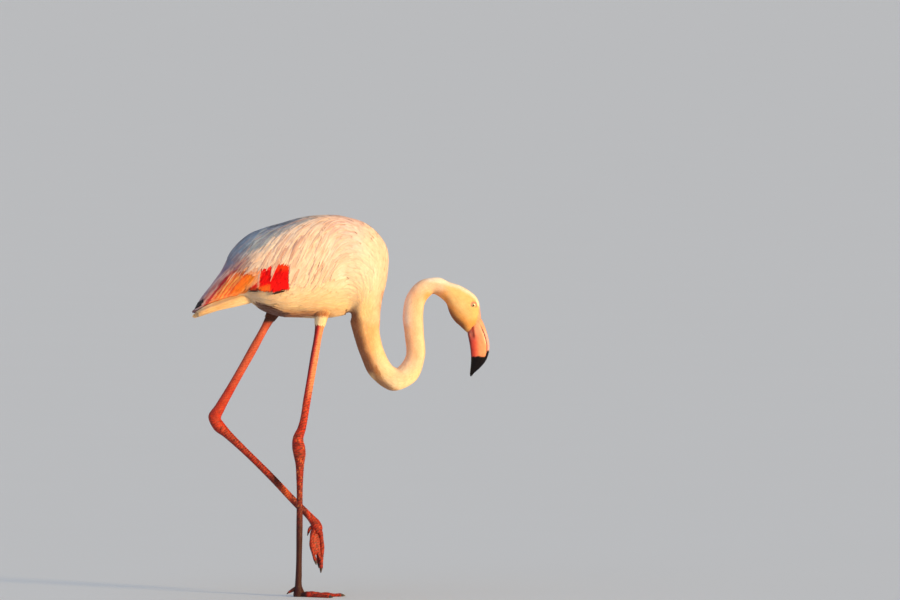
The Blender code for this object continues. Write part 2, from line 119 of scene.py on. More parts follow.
# x, y, height, half thickness fore and aft, half thickness across, from the flank to the toes
LEG_RIGHT = [
    (0.0560, -0.0420, 0.6120, 0.0240, 0.0180),
    (0.0520, -0.0395, 0.5900, 0.0220, 0.0170),
    (0.0475, -0.0370, 0.5660, 0.0135, 0.0120),
    (0.0440, -0.0354, 0.5450, 0.0096, 0.0088),
    (0.0320, -0.0295, 0.4750, 0.0082, 0.0073),
    (0.0190, -0.0230, 0.4000, 0.0077, 0.0069),
    (0.0075, -0.0172, 0.3380, 0.0085, 0.0075),
    (0.0000, -0.0146, 0.3160, 0.0110, 0.0093),
    (0.0012, -0.0138, 0.3000, 0.0131, 0.0104),
    (0.0030, -0.0132, 0.2860, 0.0124, 0.0100),
    (0.0036, -0.0124, 0.2670, 0.0091, 0.0083),
    (0.0034, -0.0110, 0.2380, 0.0070, 0.0066),
    (0.0028, -0.0064, 0.1400, 0.0064, 0.0060),
    (0.0012, -0.0016, 0.0450, 0.0063, 0.0061),
    (0.0006, 0.0000, 0.0200, 0.0074, 0.0074),
    (0.0012, 0.0000, 0.0120, 0.0090, 0.0084),
]
LEG_LEFT = [
    (-0.0160, 0.0420, 0.6300, 0.0240, 0.0180),
    (-0.0320, 0.0405, 0.6020, 0.0210, 0.0165),
    (-0.0465, 0.0390, 0.5740, 0.0140, 0.0120),
    (-0.0570, 0.0380, 0.5552, 0.0098, 0.0090),
    (-0.0935, 0.0360, 0.4890, 0.0085, 0.0075),
    (-0.1360, 0.0340, 0.4140, 0.0087, 0.0075),
    (-0.1565, 0.0330, 0.3780, 0.0104, 0.0088),
    (-0.1676, 0.0325, 0.3570, 0.0129, 0.0102),
    (-0.1600, 0.0322, 0.3410, 0.0121, 0.0100),
    (-0.1440, 0.0318, 0.3255, 0.0092, 0.0086),
    (-0.1150, 0.0312, 0.2980, 0.0072, 0.0067),
    (-0.0560, 0.0304, 0.2400, 0.0069, 0.0062),
    (-0.0040, 0.0300, 0.1850, 0.0073, 0.0064),
    (0.0260, 0.0300, 0.1550, 0.0079, 0.0075),
    (0.0345, 0.0300, 0.1440, 0.0096, 0.0090),
]
# x, y, height, half thickness fore and aft, half thickness across, down the ball of the foot
HUB = {
    "right": [
        (0.0006, 0.0, 0.0200, 0.0074, 0.0074),
        (0.0010, 0.0, 0.0130, 0.0094, 0.0088),
        (0.0018, 0.0, 0.0060, 0.0115, 0.0100),
        (0.0020, 0.0, -0.0020, 0.0112, 0.0098),
    ],
    "left": [
        (0.0260, 0.0300, 0.1550, 0.0078, 0.0074),
        (0.0345, 0.0300, 0.1440, 0.0100, 0.0092),
        (0.0380, 0.0300, 0.1340, 0.0108, 0.0096),
        (0.0385, 0.0300, 0.1250, 0.0073, 0.0078),
    ],
}
# toe: name, turn from straight ahead in degrees, length, half thickness at the root and at the tip
TOES = [
    ("inner", 34, 0.068, 0.0057, 0.0030),
    ("middle", 0, 0.086, 0.0063, 0.0033),
    ("outer", -35, 0.077, 0.0059, 0.0031),
]
# x, y and height of the raised foot's knuckle, and of each toe's path from there
FOLDED_JOINT = (0.0365, 0.0300, 0.1390)
FOLDED_TOES = {
    "inner": [(0.0300, 0.0255, 0.1280), (0.0265, 0.0200, 0.1020), (0.0340, 0.0215, 0.0710)],
    "middle": [(0.0420, 0.0300, 0.1300), (0.0475, 0.0300, 0.0980), (0.0455, 0.0290, 0.0550)],
    "outer": [(0.0360, 0.0350, 0.1280), (0.0375, 0.0400, 0.0990), (0.0405, 0.0375, 0.0640)],
}
# x, y, height and half thickness along the hind toe
HIND_TOE = {
    "right": [
        (-0.0050, 0.0, 0.0160, 0.0042),
        (-0.0115, 0.0, 0.0125, 0.0036),
        (-0.0185, 0.0, 0.0085, 0.0024),
    ],
    "left": [
        (0.0290, 0.0300, 0.1390, 0.0042),
        (0.0230, 0.0300, 0.1340, 0.0034),
        (0.0200, 0.0300, 0.1260, 0.0023),
    ],
}
HIND_TOE_LENGTH = 0.016
WEB_HEIGHT = 0.0026  # of the standing foot's webs
LEG_PLATE = 0.0046  # height of a plate on the front of a leg
LEG_COBBLE = 0.0030  # height of a cobble behind
TOE_PLATE = 0.0034

EYE_PLACE = (0.3515, 0.5840)  # x and height
EYE_RADIUS = 0.0058
EYE_CHEEK = 0.0168  # y of the cheek at the eye
EYE_BULGE = 0.0022  # how far the ball stands out of it
LID_SQUAT = 0.92  # height of the eye's opening against its length
HEAD_STRETCH = 0.112  # length of the body's end that is laid out more closely
GAPE_GAP = 0.0003  # between the two halves of the bill
BILL_SQUARE = 2.3  # power of the bill's squared ellipse
HORN_ROOT = (-0.001184, 0.0, 0.001072)  # how far the horn's first ring runs into the head

# Lines over the body that bound its markings and its painted light and shade: x, then height.
SHADE_LINE = (  # painted shade grey lies on the back above it
    (-0.130, -0.092, -0.071, -0.045, -0.020, 0.003, 0.030),
    (0.672, 0.681, 0.688, 0.710, 0.731, 0.747, 0.758),
)
WING_LOW_LINE = (
    (-0.211, -0.179, -0.140, -0.098, -0.046, -0.018),
    (0.566, 0.585, 0.6005, 0.6135, 0.6090, 0.615),
)
WING_TOP_LINE = (
    (-0.155, -0.138, -0.125, -0.10, -0.076, -0.052, -0.040, -0.016),
    (0.80, 0.690, 0.672, 0.660, 0.655, 0.667, 0.670, 0.671),
)
NAPE_LINE = (
    (0.240, 0.262, 0.290, 0.323, 0.342, 0.355, 0.364),
    (0.640, 0.639, 0.634, 0.6235, 0.613, 0.602, 0.580),
)
THROAT_LINE = ((0.290, 0.302, 0.316, 0.330, 0.340), (0.592, 0.578, 0.560, 0.547, 0.538))
BEND_LINE = ((0.158, 0.170, 0.185, 0.205, 0.230), (0.456, 0.430, 0.415, 0.406, 0.409))
FLANK_LINE = ((-0.083, -0.055, -0.029, -0.019), (0.598, 0.591, 0.576, 0.570))
# Lines that stand more upright: height, then x.
NECK_MIDDLE = (
    (0.440, 0.453, 0.492, 0.530, 0.560, 0.58),
    (0.180, 0.166, 0.147, 0.137, 0.130, 0.124),
)
KEEL_LINE = ((0.476, 0.501, 0.515, 0.528), (0.3460, 0.3440, 0.3415, 0.3384))
SHANK_MIDDLE = ((0.345, 0.540), (0.0045, 0.0433))

DENSE = 16  # table rows to each control interval
SHARP_FOLD = 70  # degrees past which an edge of a vane is left sharp
GOLDEN_TURN = 0.6180339887  # of a whole turn, from one root to the next
VANE_TIP = 0.10  # share of a vane's width that is left at its tip
EDGE_SAG = 9.0  # sag of a vane's edges for the square of its half width
EDGE_LEAN = 0.25  # how far the shading leans to a vane's edges
COAT_PACKING = 0.62  # share of a feather's length and width that one layer gives it
COAT_MOST = 0.0026  # deepest root of the coat
REACH_STEPS = 12  # steps in which a feather's way is felt out for the wing's edge
LAYOUT_EDGE, LAYOUT_SPAN = 0.03, 0.94  # margin and width of the roots' places on a coat's UV map
VANE_ISLAND = 0.003  # width of one vane there
NAILS = {"toe": (0.009, 0.0012), "hind": (0.006, 0.0015)}  # length, and how far the tip drops


# ------------------------------------------------------------------------------------------ colours
def paint(code):
    """Linear red, green and blue of a six-letter display colour."""
    value = np.array([int(code[k : k + 2], 16) for k in (0, 2, 4)]) / 255
    return np.where(value <= 0.04045, value / 12.92, ((value + 0.055) / 1.055) ** 2.4)


# the body's plumage, with painted light and shade
CREAM = paint("f4dbc6")
BLUSH = paint("f2c6ac")
SKY_SHADE_GREY = paint("8a98a6")
ROSE = paint("b04a54")
MAUVE = paint("94868c")
CROWN_HIGHLIGHT = paint("fff0dc")
UNDERSIDE_WARM_LIGHT = paint("f09a40")
THROAT_SHADE_BROWN = paint("7c401c")
NECK_SHADE_BROWN = paint("8c5030")
BEND_SHADE_BROWN = paint("a4602c")
BELLY_SHADE_BROWN = paint("9c4c16")
FLANK_SHADE_BROWN = paint("562a1a")
THIGH_CREAM = paint("fae0b4")
RUMP_PINK = paint("dcb0a8")
STRAND_SHADE_BROWN = paint("c48a78")
STRAND_SHADE_GREY = paint("6c7b90")
STRAND_PALE = paint("ecb9a4")
# the folded wing, and the painted shade in the gap under it
CRIMSON = paint("e80406")
SCARLET = paint("ee3a0e")
ORANGE = paint("f0641e")
RUST = paint("b83210")
COVERT_PEACH = paint("eeb291")
BORDER_PEACH = paint("f6b088")
DUSK = paint("a08088")
GAP_SHADE_BROWN = paint("2c0e08")
PRIMARY_BLACK = paint("2a2224")
# the legs, with painted shade, highlights and glints
LEG_RED = paint("d42e08")
LEG_PINK = paint("df4e2a")
LEG_PALE = paint("f08c66")
LEG_DARK = paint("38100a")
SHANK_SHADE_CRIMSON = paint("d81e2a")
SHANK_SHADE = paint("6c0a10")
SHANK_HIGHLIGHT = paint("f6a070")
TARSUS_ORANGE = paint("f2702c")
FLECK_BROWN = paint("400a08")
GLINT_ORANGE = paint("f08a48")
# the face, the bill and the eyes
LORE_PINK = paint("f2ab90")
FACE_PEACH = paint("f0a584")
LID_PINK = paint("d98a74")
LID_RIM = paint("4a1a14")
CREASE_RED = paint("640a10")
BASE_RED = paint("b02a2c")
BILL_PINK = paint("eeaca8")
BILL_CORAL = paint("e04638")
BILL_ORANGE = paint("f59b70")
BILL_BLACK = paint("0c0404")
IRIS = paint("e2cf94")
IRIS_SPOKE = paint("b98a2c")
IRIS_RING = paint("e9a63a")
PUPIL = paint("0a0605")
EYE_RIM = paint("3a1512")


# --------------------------------------------------------------------------------- surface formulas
def turns_round(count):
    """Even turns round a section, without the last one that would repeat the first."""
    return np.linspace(0, 2 * math.pi, count + 1)[:-1]


def smooth(rows, steps):
    """Rows on a cubic curve through the control rows, `steps` of them to each interval."""
    rows = np.array(rows, float)
    knots = np.concatenate([[0.0], np.cumsum(np.linalg.norm(np.diff(rows[:, :4], axis=0), axis=1))])
    slopes = np.gradient(rows, knots, axis=0)
    part = np.append(np.arange(len(rows) - 1).repeat(steps), len(rows) - 2)
    share = np.append(np.tile(np.arange(steps) / steps, len(rows) - 1), 1.0)[:, None]
    span = np.diff(knots)[part][:, None]
    low, high = rows[part], rows[part + 1]
    return (
        low * (1 + 2 * share) * (1 - share) ** 2
        + slopes[part] * span * share * (1 - share) ** 2
        + high * share**2 * (3 - 2 * share)
        + slopes[part + 1] * span * share**2 * (share - 1)
    )


def superellipse(turns, power):
    """Cosine and sine of the turns, squared off by the power."""
    cosine, sine = np.cos(turns), np.sin(turns)
    return (
        np.sign(cosine) * np.abs(cosine) ** (2 / power),
        np.sign(sine) * np.abs(sine) ** (2 / power),
    )


class Surface:
    """A body part as stations: inside x and z, outside x and z, half width, y of the middle, coat.

    A point is found from its distance along the part and its turn round it: turn 0 is the outside
    (back, crown), pi the inside (belly, throat), and pi / 2 the bird's left.
    """

    def __init__(self, rows, power):
        self.rows = smooth(rows, DENSE)
        middles = (self.rows[:, 0:2] + self.rows[:, 2:4]) / 2
        steps = np.hypot(np.linalg.norm(np.diff(middles, axis=0), axis=1), np.diff(self.rows[:, 5]))
        self.at = np.concatenate([[0.0], np.cumsum(steps)])
        self.length = self.at[-1]
        self.power = power

    def row(self, along):
        """The table's row at a distance along, read between its rows."""
        return np.stack([np.interp(along, self.at, column) for column in self.rows.T], axis=-1)

    def point(self, along, turn, lift=0.0):
        """Middle plus arm times cosine, half width times sine; lift grows both by a distance."""
        row = self.row(along)
        middle, arm = (row[..., 0:2] + row[..., 2:4]) / 2, (row[..., 2:4] - row[..., 0:2]) / 2
        reach = np.linalg.norm(arm, axis=-1)
        arm = arm * ((reach + lift) / reach)[..., None]
        up, side = superellipse(turn, self.power)
        flat = middle + arm * up[..., None]
        across = row[..., 5] + (row[..., 4] + lift) * side
        return np.stack([flat[..., 0], across, flat[..., 1]], axis=-1)

    def around(self, along, turn):
        """The point, how it moves with distance and with turn, and the outward normal."""
        small, tiny = 0.0012, 0.02
        along = np.clip(along, small, self.length - small)
        here = self.point(along, turn)
        by_along = (self.point(along + small, turn) - self.point(along - small, turn)) / (2 * small)
        by_turn = (self.point(along, turn + tiny) - self.point(along, turn - tiny)) / (2 * tiny)
        normal = unit(np.cross(by_turn, by_along))
        row = self.row(along)
        middle = (row[..., 0:2] + row[..., 2:4]) / 2
        centre = np.stack([middle[..., 0], row[..., 5], middle[..., 1]], axis=-1)
        normal = normal * np.sign(np.sum(normal * (here - centre), axis=-1))[..., None]
        return here, by_along, by_turn, normal

    def coat(self, along):
        """Depth of the coat at a distance along."""
        return np.interp(along, self.at, self.rows[:, 6])


def unit(vectors):
    """Each vector divided by its length."""
    return vectors / np.maximum(np.linalg.norm(vectors, axis=-1, keepdims=True), 1e-9)


def trunk_and_head_rows():
    """Stations from tail to bill: upright in the trunk, rays in the chest, square to the neck."""
    rows = [(x, low, x, high, half, 0.0, coat) for x, low, high, half, coat in TRUNK]
    for degrees, near, far, half, coat in CHEST:
        ray = np.array([math.cos(math.radians(degrees)), math.sin(math.radians(degrees))])
        rows.append((*(CHEST_PIVOT + near * ray), *(CHEST_PIVOT + far * ray), half, 0.0, coat))
    before = np.mean(np.array(rows[-1][:4]).reshape(2, 2), axis=0)
    after = np.mean(np.array(HEAD[0][:4]).reshape(2, 2), axis=0)
    centres = np.array([before] + [row[:2] for row in NECK] + [after])
    ahead = unit(centres[2:] - centres[:-2])
    outward = np.stack([-ahead[:, 1], ahead[:, 0]], axis=1)
    for centre, side, (_, _, thick) in zip(centres[1:-1], outward, NECK):
        arm = side * thick / 2
        rows.append((*(centre - arm), *(centre + arm), NECK_WIDTH * thick / 2, 0.0, NECK_COAT))
    rows += [(*row[:5], 0.0, row[5]) for row in HEAD]
    return rows


def limb_rows(table):
    """A limb's stations, square to its path in the upright plane that holds it."""
    table = np.array(table)
    ahead = unit(np.gradient(table[:, [0, 2]], axis=0))
    outward = np.stack([-ahead[:, 1], ahead[:, 0]], axis=1)
    inside = table[:, [0, 2]] - outward * table[:, 3:4]
    outside = table[:, [0, 2]] + outward * table[:, 3:4]
    return np.column_stack([inside, outside, table[:, 4], table[:, 1], np.full(len(table), 0.002)])


body = Surface(trunk_and_head_rows(), 2.12)
tail = Surface([(x, low, x, high, half, 0.0, coat) for x, low, high, half, coat in TAIL], 3.0)
leg_right = Surface(limb_rows(LEG_RIGHT), 2.0)
leg_left = Surface(limb_rows(LEG_LEFT), 2.0)


# ------------------------------------------------------------------------------------ mesh making
def mesh_object(name, points, faces, finish, attributes=None, uvs=None, normals=None):
    """A mesh at the origin. Faces are rows of four corners.

    Attributes are colours by vertex, uvs are places by vertex, and normals are by corner.
    """
    mesh = bpy.data.meshes.new(name)
    points = np.ascontiguousarray(points.reshape(-1, 3), np.float32)
    faces = np.ascontiguousarray(faces.reshape(-1, faces.shape[-1]), np.int32)
    mesh.vertices.add(len(points))
    mesh.vertices.foreach_set("co", points.ravel())
    mesh.loops.add(faces.size)
    mesh.loops.foreach_set("vertex_index", faces.ravel())
    mesh.polygons.add(len(faces))
    starts = np.arange(0, faces.size, faces.shape[1], dtype=np.int32)
    mesh.polygons.foreach_set("loop_start", starts)
    mesh.update(calc_edges=True)
    for label, values in (attributes or {}).items():
        made = mesh.attributes.new(label, "FLOAT_COLOR", "POINT")
        full = np.ones((len(points), 4), np.float32)
        full[:, :3] = values.reshape(-1, 3)
        made.data.foreach_set("color", full.ravel())
    for label, values in (uvs or {}).items():
        layer = mesh.uv_layers.new(name=label)
        by_corner = values.reshape(-1, 2)[faces.ravel()].astype(np.float32)
        layer.data.foreach_set("uv", by_corner.ravel())
    mesh.polygons.foreach_set("use_smooth", np.ones(len(faces), bool))
    if normals is not None:
        mesh.set_sharp_from_angle(angle=math.radians(SHARP_FOLD))
        mesh.normals_split_custom_set(normals.tolist())
    mesh.materials.append(finish)
    mesh.validate()
    made = bpy.data.objects.new(name, mesh)
    bpy.context.scene.collection.objects.link(made)
    return made


def grid_faces(rows, columns, wrap=True, offset=0):
    """Four-cornered faces of a grid of points, closed round each row when wrap is true."""
    across = np.arange(columns if wrap else columns - 1)
    low = (np.arange(rows - 1)[:, None] * columns + across) + offset
    side = (np.arange(rows - 1)[:, None] * columns + (across + 1) % columns) + offset
    return np.stack([low, side, side + columns, low + columns], axis=-1).reshape(-1, 4)


def drawn_in(rings):
    """Adds smaller and smaller rings at each end of a stack, toward the end's own middle."""
    ends = []
    for ring in (rings[0], rings[-1]):
        middle = ring.mean(axis=0)
        ends.append([middle + (ring - middle) * share for share in (0.66, 0.33, 0.06)])
    return np.concatenate([np.array(ends[0])[::-1], rings, np.array(ends[1])])


def end_faces(rows, columns):
    """Closes the first and last ring of a grid with a ladder of four-cornered faces across each."""
    rung = np.arange(columns // 2 - 1)
    last = np.stack([rung, rung + 1, columns - 2 - rung, columns - 1 - rung], axis=-1)
    return np.concatenate([last[:, ::-1], last + (rows - 1) * columns])


def tube_mesh(name, rings, finish, attributes=None):
    """A closed surface of rings, with its ends drawn together and its faces pointing out."""
    rings = drawn_in(rings)
    rows, columns = rings.shape[:2]
    faces = np.concatenate([grid_faces(rows, columns), end_faces(rows, columns)])
    if signed_volume(rings.reshape(-1, 3), faces) < 0:
        faces = faces[:, ::-1]
    colours = {key: drawn_in(value) for key, value in (attributes or {}).items()}
    return mesh_object(name, rings, faces, finish, colours)


def signed_volume(points, faces):
    """Six times the volume inside the faces, as a sum of triple products; below 0 if inside out."""
    a, b, c, d = (points[faces[:, k]] for k in range(4))
    return np.sum(a * np.cross(b, c)) + np.sum(a * np.cross(c, d))


# ---------------------------------------------------------------------------------------- markings, painted light and shade
def blend(first, second, share):
    """The first colour with a share of the second mixed in."""
    share = np.clip(share, 0, 1)[..., None]
    return first * (1 - share) + second * share


def less(colour, share, loss):
    """The colour with a share of each of its red, green and blue taken away."""
    return colour * (1 - share[..., None] * np.asarray(loss))


def step(low, high, value):
    """0 below low, 1 above high, and smooth in between."""
    share = np.clip((value - low) / (high - low), 0, 1)
    return share * share * (3 - 2 * share)


def between(value, start, full, last, end):
    """0 up to start, 1 from full to last, and 0 past end, smooth in between."""
    return step(start, full, value) * step(end, last, value)


def bell(value, middle, width):
    """1 at the middle, falling away on both sides as a bell curve."""
    return np.exp(-(((value - middle) / width) ** 2))


def ripple(points, scale, seed):
    """A soft even variation from -1 to 1: a sum of three sine waves in different directions."""
    total = np.zeros(points.shape[:-1])
    turns = np.random.default_rng(seed).normal(size=(3, 3))
    for k, way in enumerate(turns):
        wave = unit(way) * 2 * math.pi / scale * (1 + 0.37 * k)
        total = total + np.sin(points @ wave + 1.7 * k + seed)
    return total / 3


def wing_low(x):
    """Height of the folded wing's lower edge."""
    return np.interp(x, *WING_LOW_LINE)


def wing_top(x):
    """Height down to which the back's plumage hangs over the wing."""
    return np.interp(x, *WING_TOP_LINE)


# Across the strands of the folded wing, from the front one to the hindmost.
STRANDS = [
    (0.7130, "e8080a"), (0.7165, "f6a878"), (0.7250, "ff9a50"), (0.7300, "ff8426"),
    (0.7470, "ff7820"), (0.7505, "d8442c"), (0.7540, "f8a258"), (0.7570, "e04a30"),
    (0.7610, "f8aa58"), (0.7650, "e4502a"), (0.7690, "f6b468"), (0.7730, "ea5a2c"),
    (0.7765, "f2a070"), (0.7795, "c82c30"), (0.7835, "c63a40"), (0.7870, "f0b4a2"),
    (0.7915, "d87a70"), (0.7960, "e3ab9c"), (0.7990, "a07a90"), (0.8200, "857a8c"),
]
STRAND_AT = np.array([place for place, _ in STRANDS])
STRAND_DYE = np.array([paint(code) for _, code in STRANDS])


def wing_colours(points):
    """Colours of the folded wing: bands along its strands, dusky and then painted shade grey above,
    crimson in front.

    A strand is known by its height less its x, and the strands gather toward the wing's tip.
    """
    x, z = points[..., 0], points[..., 2]
    gathered = 0.20 * step(0.660, 0.600, z) * (0.640 - z) * step(-0.110, -0.150, x)
    across = z - x + gathered + 0.0012 * ripple(points, 0.016, 21)
    colour = np.stack([np.interp(across, STRAND_AT, dye) for dye in STRAND_DYE.T], axis=-1)
    fine = 0.5 + 0.5 * np.sin(across * 2 * math.pi / 0.0034 + 2.0 * ripple(points, 0.03, 22))
    colour = colour * (1 - 0.12 * fine * step(-0.080, -0.095, x))[..., None]
    # dusky upper strands, turning to painted shade grey toward the back
    waves = 0.7 + 0.3 * np.sin(across * 2 * math.pi / 0.0062)
    dusky = step(0.648, 0.668, z) * step(-0.090, -0.105, x) * waves
    grey = blend(np.broadcast_to(MAUVE, colour.shape), SKY_SHADE_GREY, step(0.660, 0.676, z))
    colour = blend(colour, grey, 0.9 * dusky)
    # peach just under the back's plumes
    hanging = step(-0.012, -0.002, z - wing_top(x)) * between(x, -0.112, -0.104, -0.080, -0.074)
    colour = blend(colour, COVERT_PEACH, 0.8 * hanging)
    # crimson in front, above a slanting line, with orange and rust below it
    above = z - 0.6215 - 0.25 * (x + 0.0757)
    colour = blend(colour, CRIMSON, step(-0.0770, -0.0745, x) * step(0.0, 0.003, above))
    below = step(0.003, 0.0, above) * between(x, -0.0980, -0.092, -0.058, -0.053)
    colour = blend(colour, ORANGE, below)
    rusty = step(0.624, 0.618, z) * between(x, -0.100, -0.094, -0.082, -0.076)
    colour = blend(colour, RUST, 0.8 * rusty)
    # a pale border behind the crimson, wider and further back toward its top
    border = -0.0790 - 0.0075 * step(0.625, 0.668, z)
    wide = 0.0018 + 0.0034 * step(0.625, 0.665, z)
    colour = blend(colour, BORDER_PEACH, 0.9 * bell(x, border, wide) * (z > 0.620))
    colour = blend(colour, SCARLET, 0.8 * step(0.650, 0.664, z) * step(-0.045, -0.038, x))
    return blend(colour, DUSK, 0.85 * step(-0.184, -0.196, x))


def ground_dye_and_warm_light(points):
    """Cream with a soft blush, and painted warm light that makes it golden low on the body."""
    x, z = points[..., 0], points[..., 2]
    blush = 0.36 + 0.32 * ripple(points, 0.09, 3)
    colour = blend(np.broadcast_to(CREAM, points.shape), BLUSH, blush)
    # painted warm light: golden low on the body
    return less(colour, step(0.660, 0.570, z) * step(0.200, 0.120, x), (0.0, 0.14, 0.48))


def neck_and_head_light_and_shade(colour, points):
    """Painted warm light up the neck, over the face and under the arch and throat, a painted
    highlight along the crown, and painted shade brown under the throat.
    """
    x, z = points[..., 0], points[..., 2]
    # painted warm light: gold up the rising neck and over the face
    rising = step(0.110, 0.150, x) * between(z, 0.445, 0.490, 0.535, 0.555)
    rising = np.maximum(rising, step(0.215, 0.235, x) * step(0.450, 0.500, z))
    face = step(0.285, 0.310, x)[..., None]
    # paler inside the neck's arch, along the nape, and up the front of the bend
    pale = np.maximum(step(0.238, 0.252, x) * step(0.600, 0.585, z), step(0.603, 0.622, z))
    pale = np.maximum(pale, 0.8 * between(x, 0.150, 0.164, 0.185, 0.20))[..., None] * (1 - face)
    loss = np.array([0.02, 0.22, 0.40]) + face * np.array([0.0, -0.01, 0.20])
    colour = less(colour, rising, loss + pale * np.array([0.0, -0.17, -0.22]))
    # a painted highlight along the crown and the nape
    crown = step(-0.011, -0.003, z - np.interp(x, *NAPE_LINE))
    crown = crown * between(x, 0.250, 0.270, 0.361, 0.368)
    colour = blend(colour, CROWN_HIGHLIGHT, 0.85 * crown)
    # painted warm light under the neck's arch
    arch = step(0.619, 0.603, z) * between(x, 0.249, 0.260, 0.295, 0.305)
    colour = blend(colour, UNDERSIDE_WARM_LIGHT, 0.75 * arch)
    # painted warm light low on the neck's bend
    colour = less(colour, step(0.475, 0.445, z) * step(0.10, 0.13, x), (0.0, 0.02, 0.22))
    # painted warm light under the throat, and painted shade brown deep in it
    throat = np.interp(x, *THROAT_LINE) - z
    colour = blend(colour, UNDERSIDE_WARM_LIGHT, 0.8 * step(-0.030, -0.006, throat) * step(0.285, 0.300, x))
    deep = step(-0.011, 0.006, throat) * between(x, 0.285, 0.300, 0.330, 0.342)
    return blend(colour, THROAT_SHADE_BROWN, 0.92 * deep)


def back_shade_and_strands(colour, points):
    """Painted shade grey over the back, down to a ragged line, with rose and mauve strands on the
    rump.
    """
    x, z = points[..., 0], points[..., 2]
    ragged = 0.013 * ripple(points, 0.015, 31)
    above = z + ragged - np.interp(x, *SHADE_LINE)
    # painted shade: grey over the back, above the ragged shade line
    colour = blend(colour, SKY_SHADE_GREY, 0.92 * step(-0.003, 0.020, above) * step(0.062, 0.020, x + ragged))
    strands = 0.25 + 0.25 * np.sin((z - x) * 2 * math.pi / 0.0058)
    rosy = step(-0.080, -0.102, x) * between(z, 0.630, 0.640, 0.680, 0.694)
    return blend(colour, blend(np.broadcast_to(MAUVE, colour.shape), ROSE, strands), 0.8 * rosy)


def chest_warm_light_and_tone(colour, points):
    """Painted warm light over the breast, less of it toward its top, and a little warmer on the
    shoulders.
    """
    x, z = points[..., 0], points[..., 2]
    # painted warm light over the breast
    front = step(0.500, 0.560, z) * between(x, 0.125, 0.170, 0.20, 0.22)
    colour = less(colour, front * (1 - 0.55 * step(0.590, 0.625, z)), (0.03, 0.23, 0.18))
    shoulder = step(0.66, 0.70, z) * between(x, 0.050, 0.080, 0.125, 0.150)
    return less(colour, shoulder, (0.0, 0.10, 0.03))


def underside_shade_and_thigh(colour, points):
    """Painted shade: brown under the belly, behind the neck's rise and under its bend, dark on the
    hind flank; the thigh is kept light cream.
    """
    x, z = points[..., 0], points[..., 2]
    # painted shade brown under the belly
    belly = step(0.588, 0.566, z) * between(x, -0.090, -0.078, 0.055, 0.075)
    colour = blend(colour, BELLY_SHADE_BROWN, 0.88 * belly)
    thigh = step(0.567, 0.559, z) * between(x, 0.005, 0.012, 0.055, 0.065)
    colour = blend(colour, THIGH_CREAM, 0.9 * thigh)
    # painted shade brown behind the neck's rise
    inner = step(0.001, -0.015, x - np.interp(z, *NECK_MIDDLE))
    inner = inner * between(z, 0.435, 0.455, 0.565, 0.585) * between(x, 0.085, 0.100, 0.18, 0.20)
    colour = blend(colour, NECK_SHADE_BROWN, 0.90 * inner)
    # painted shade brown under the neck's bend
    bend = step(0.014, 0.002, z - np.interp(x, *BEND_LINE)) * between(x, 0.150, 0.158, 0.195, 0.225)
    colour = blend(colour, BEND_SHADE_BROWN, 0.7 * bend)
    # painted shade, dark, on the hind flank
    flank = step(0.0, -0.006, z - np.interp(x, *FLANK_LINE))
    flank = flank * between(x, -0.0865, -0.080, -0.030, -0.020)
    return blend(colour, FLANK_SHADE_BROWN, 0.96 * flank)


def folded_wing_dye_and_gap_shade(colour, points):
    """The wing's own dye where it shows, and painted shade in the gap beneath its lower edge."""
    x, z = points[..., 0], points[..., 2]
    shown = step(-0.0145, -0.0175, x) * step(0.0, 0.002, z - wing_low(x))
    colour = blend(colour, wing_colours(points), shown * step(0.004, 0.0, z - wing_top(x)))
    # painted shade in the gap beneath the wing's lower edge
    open_at = between(x, -0.104, -0.096, -0.086, -0.076)
    open_at = open_at + between(x, -0.056, -0.048, -0.028, -0.022)
    return blend(colour, GAP_SHADE_BROWN, 0.9 * bell(z, wing_low(x) - 0.0008, 0.0016) * open_at)


def markings_and_painted_light(points):
    """Colour of the plumage at a place on the bird, with painted light and shade, the same for the
    skin and for the coat.
    """
    colour = ground_dye_and_warm_light(points)
    for dye in (neck_and_head_light_and_shade, back_shade_and_strands, chest_warm_light_and_tone, underside_shade_and_thigh, folded_wing_dye_and_gap_shade):
        colour = dye(colour, points)
    return colour


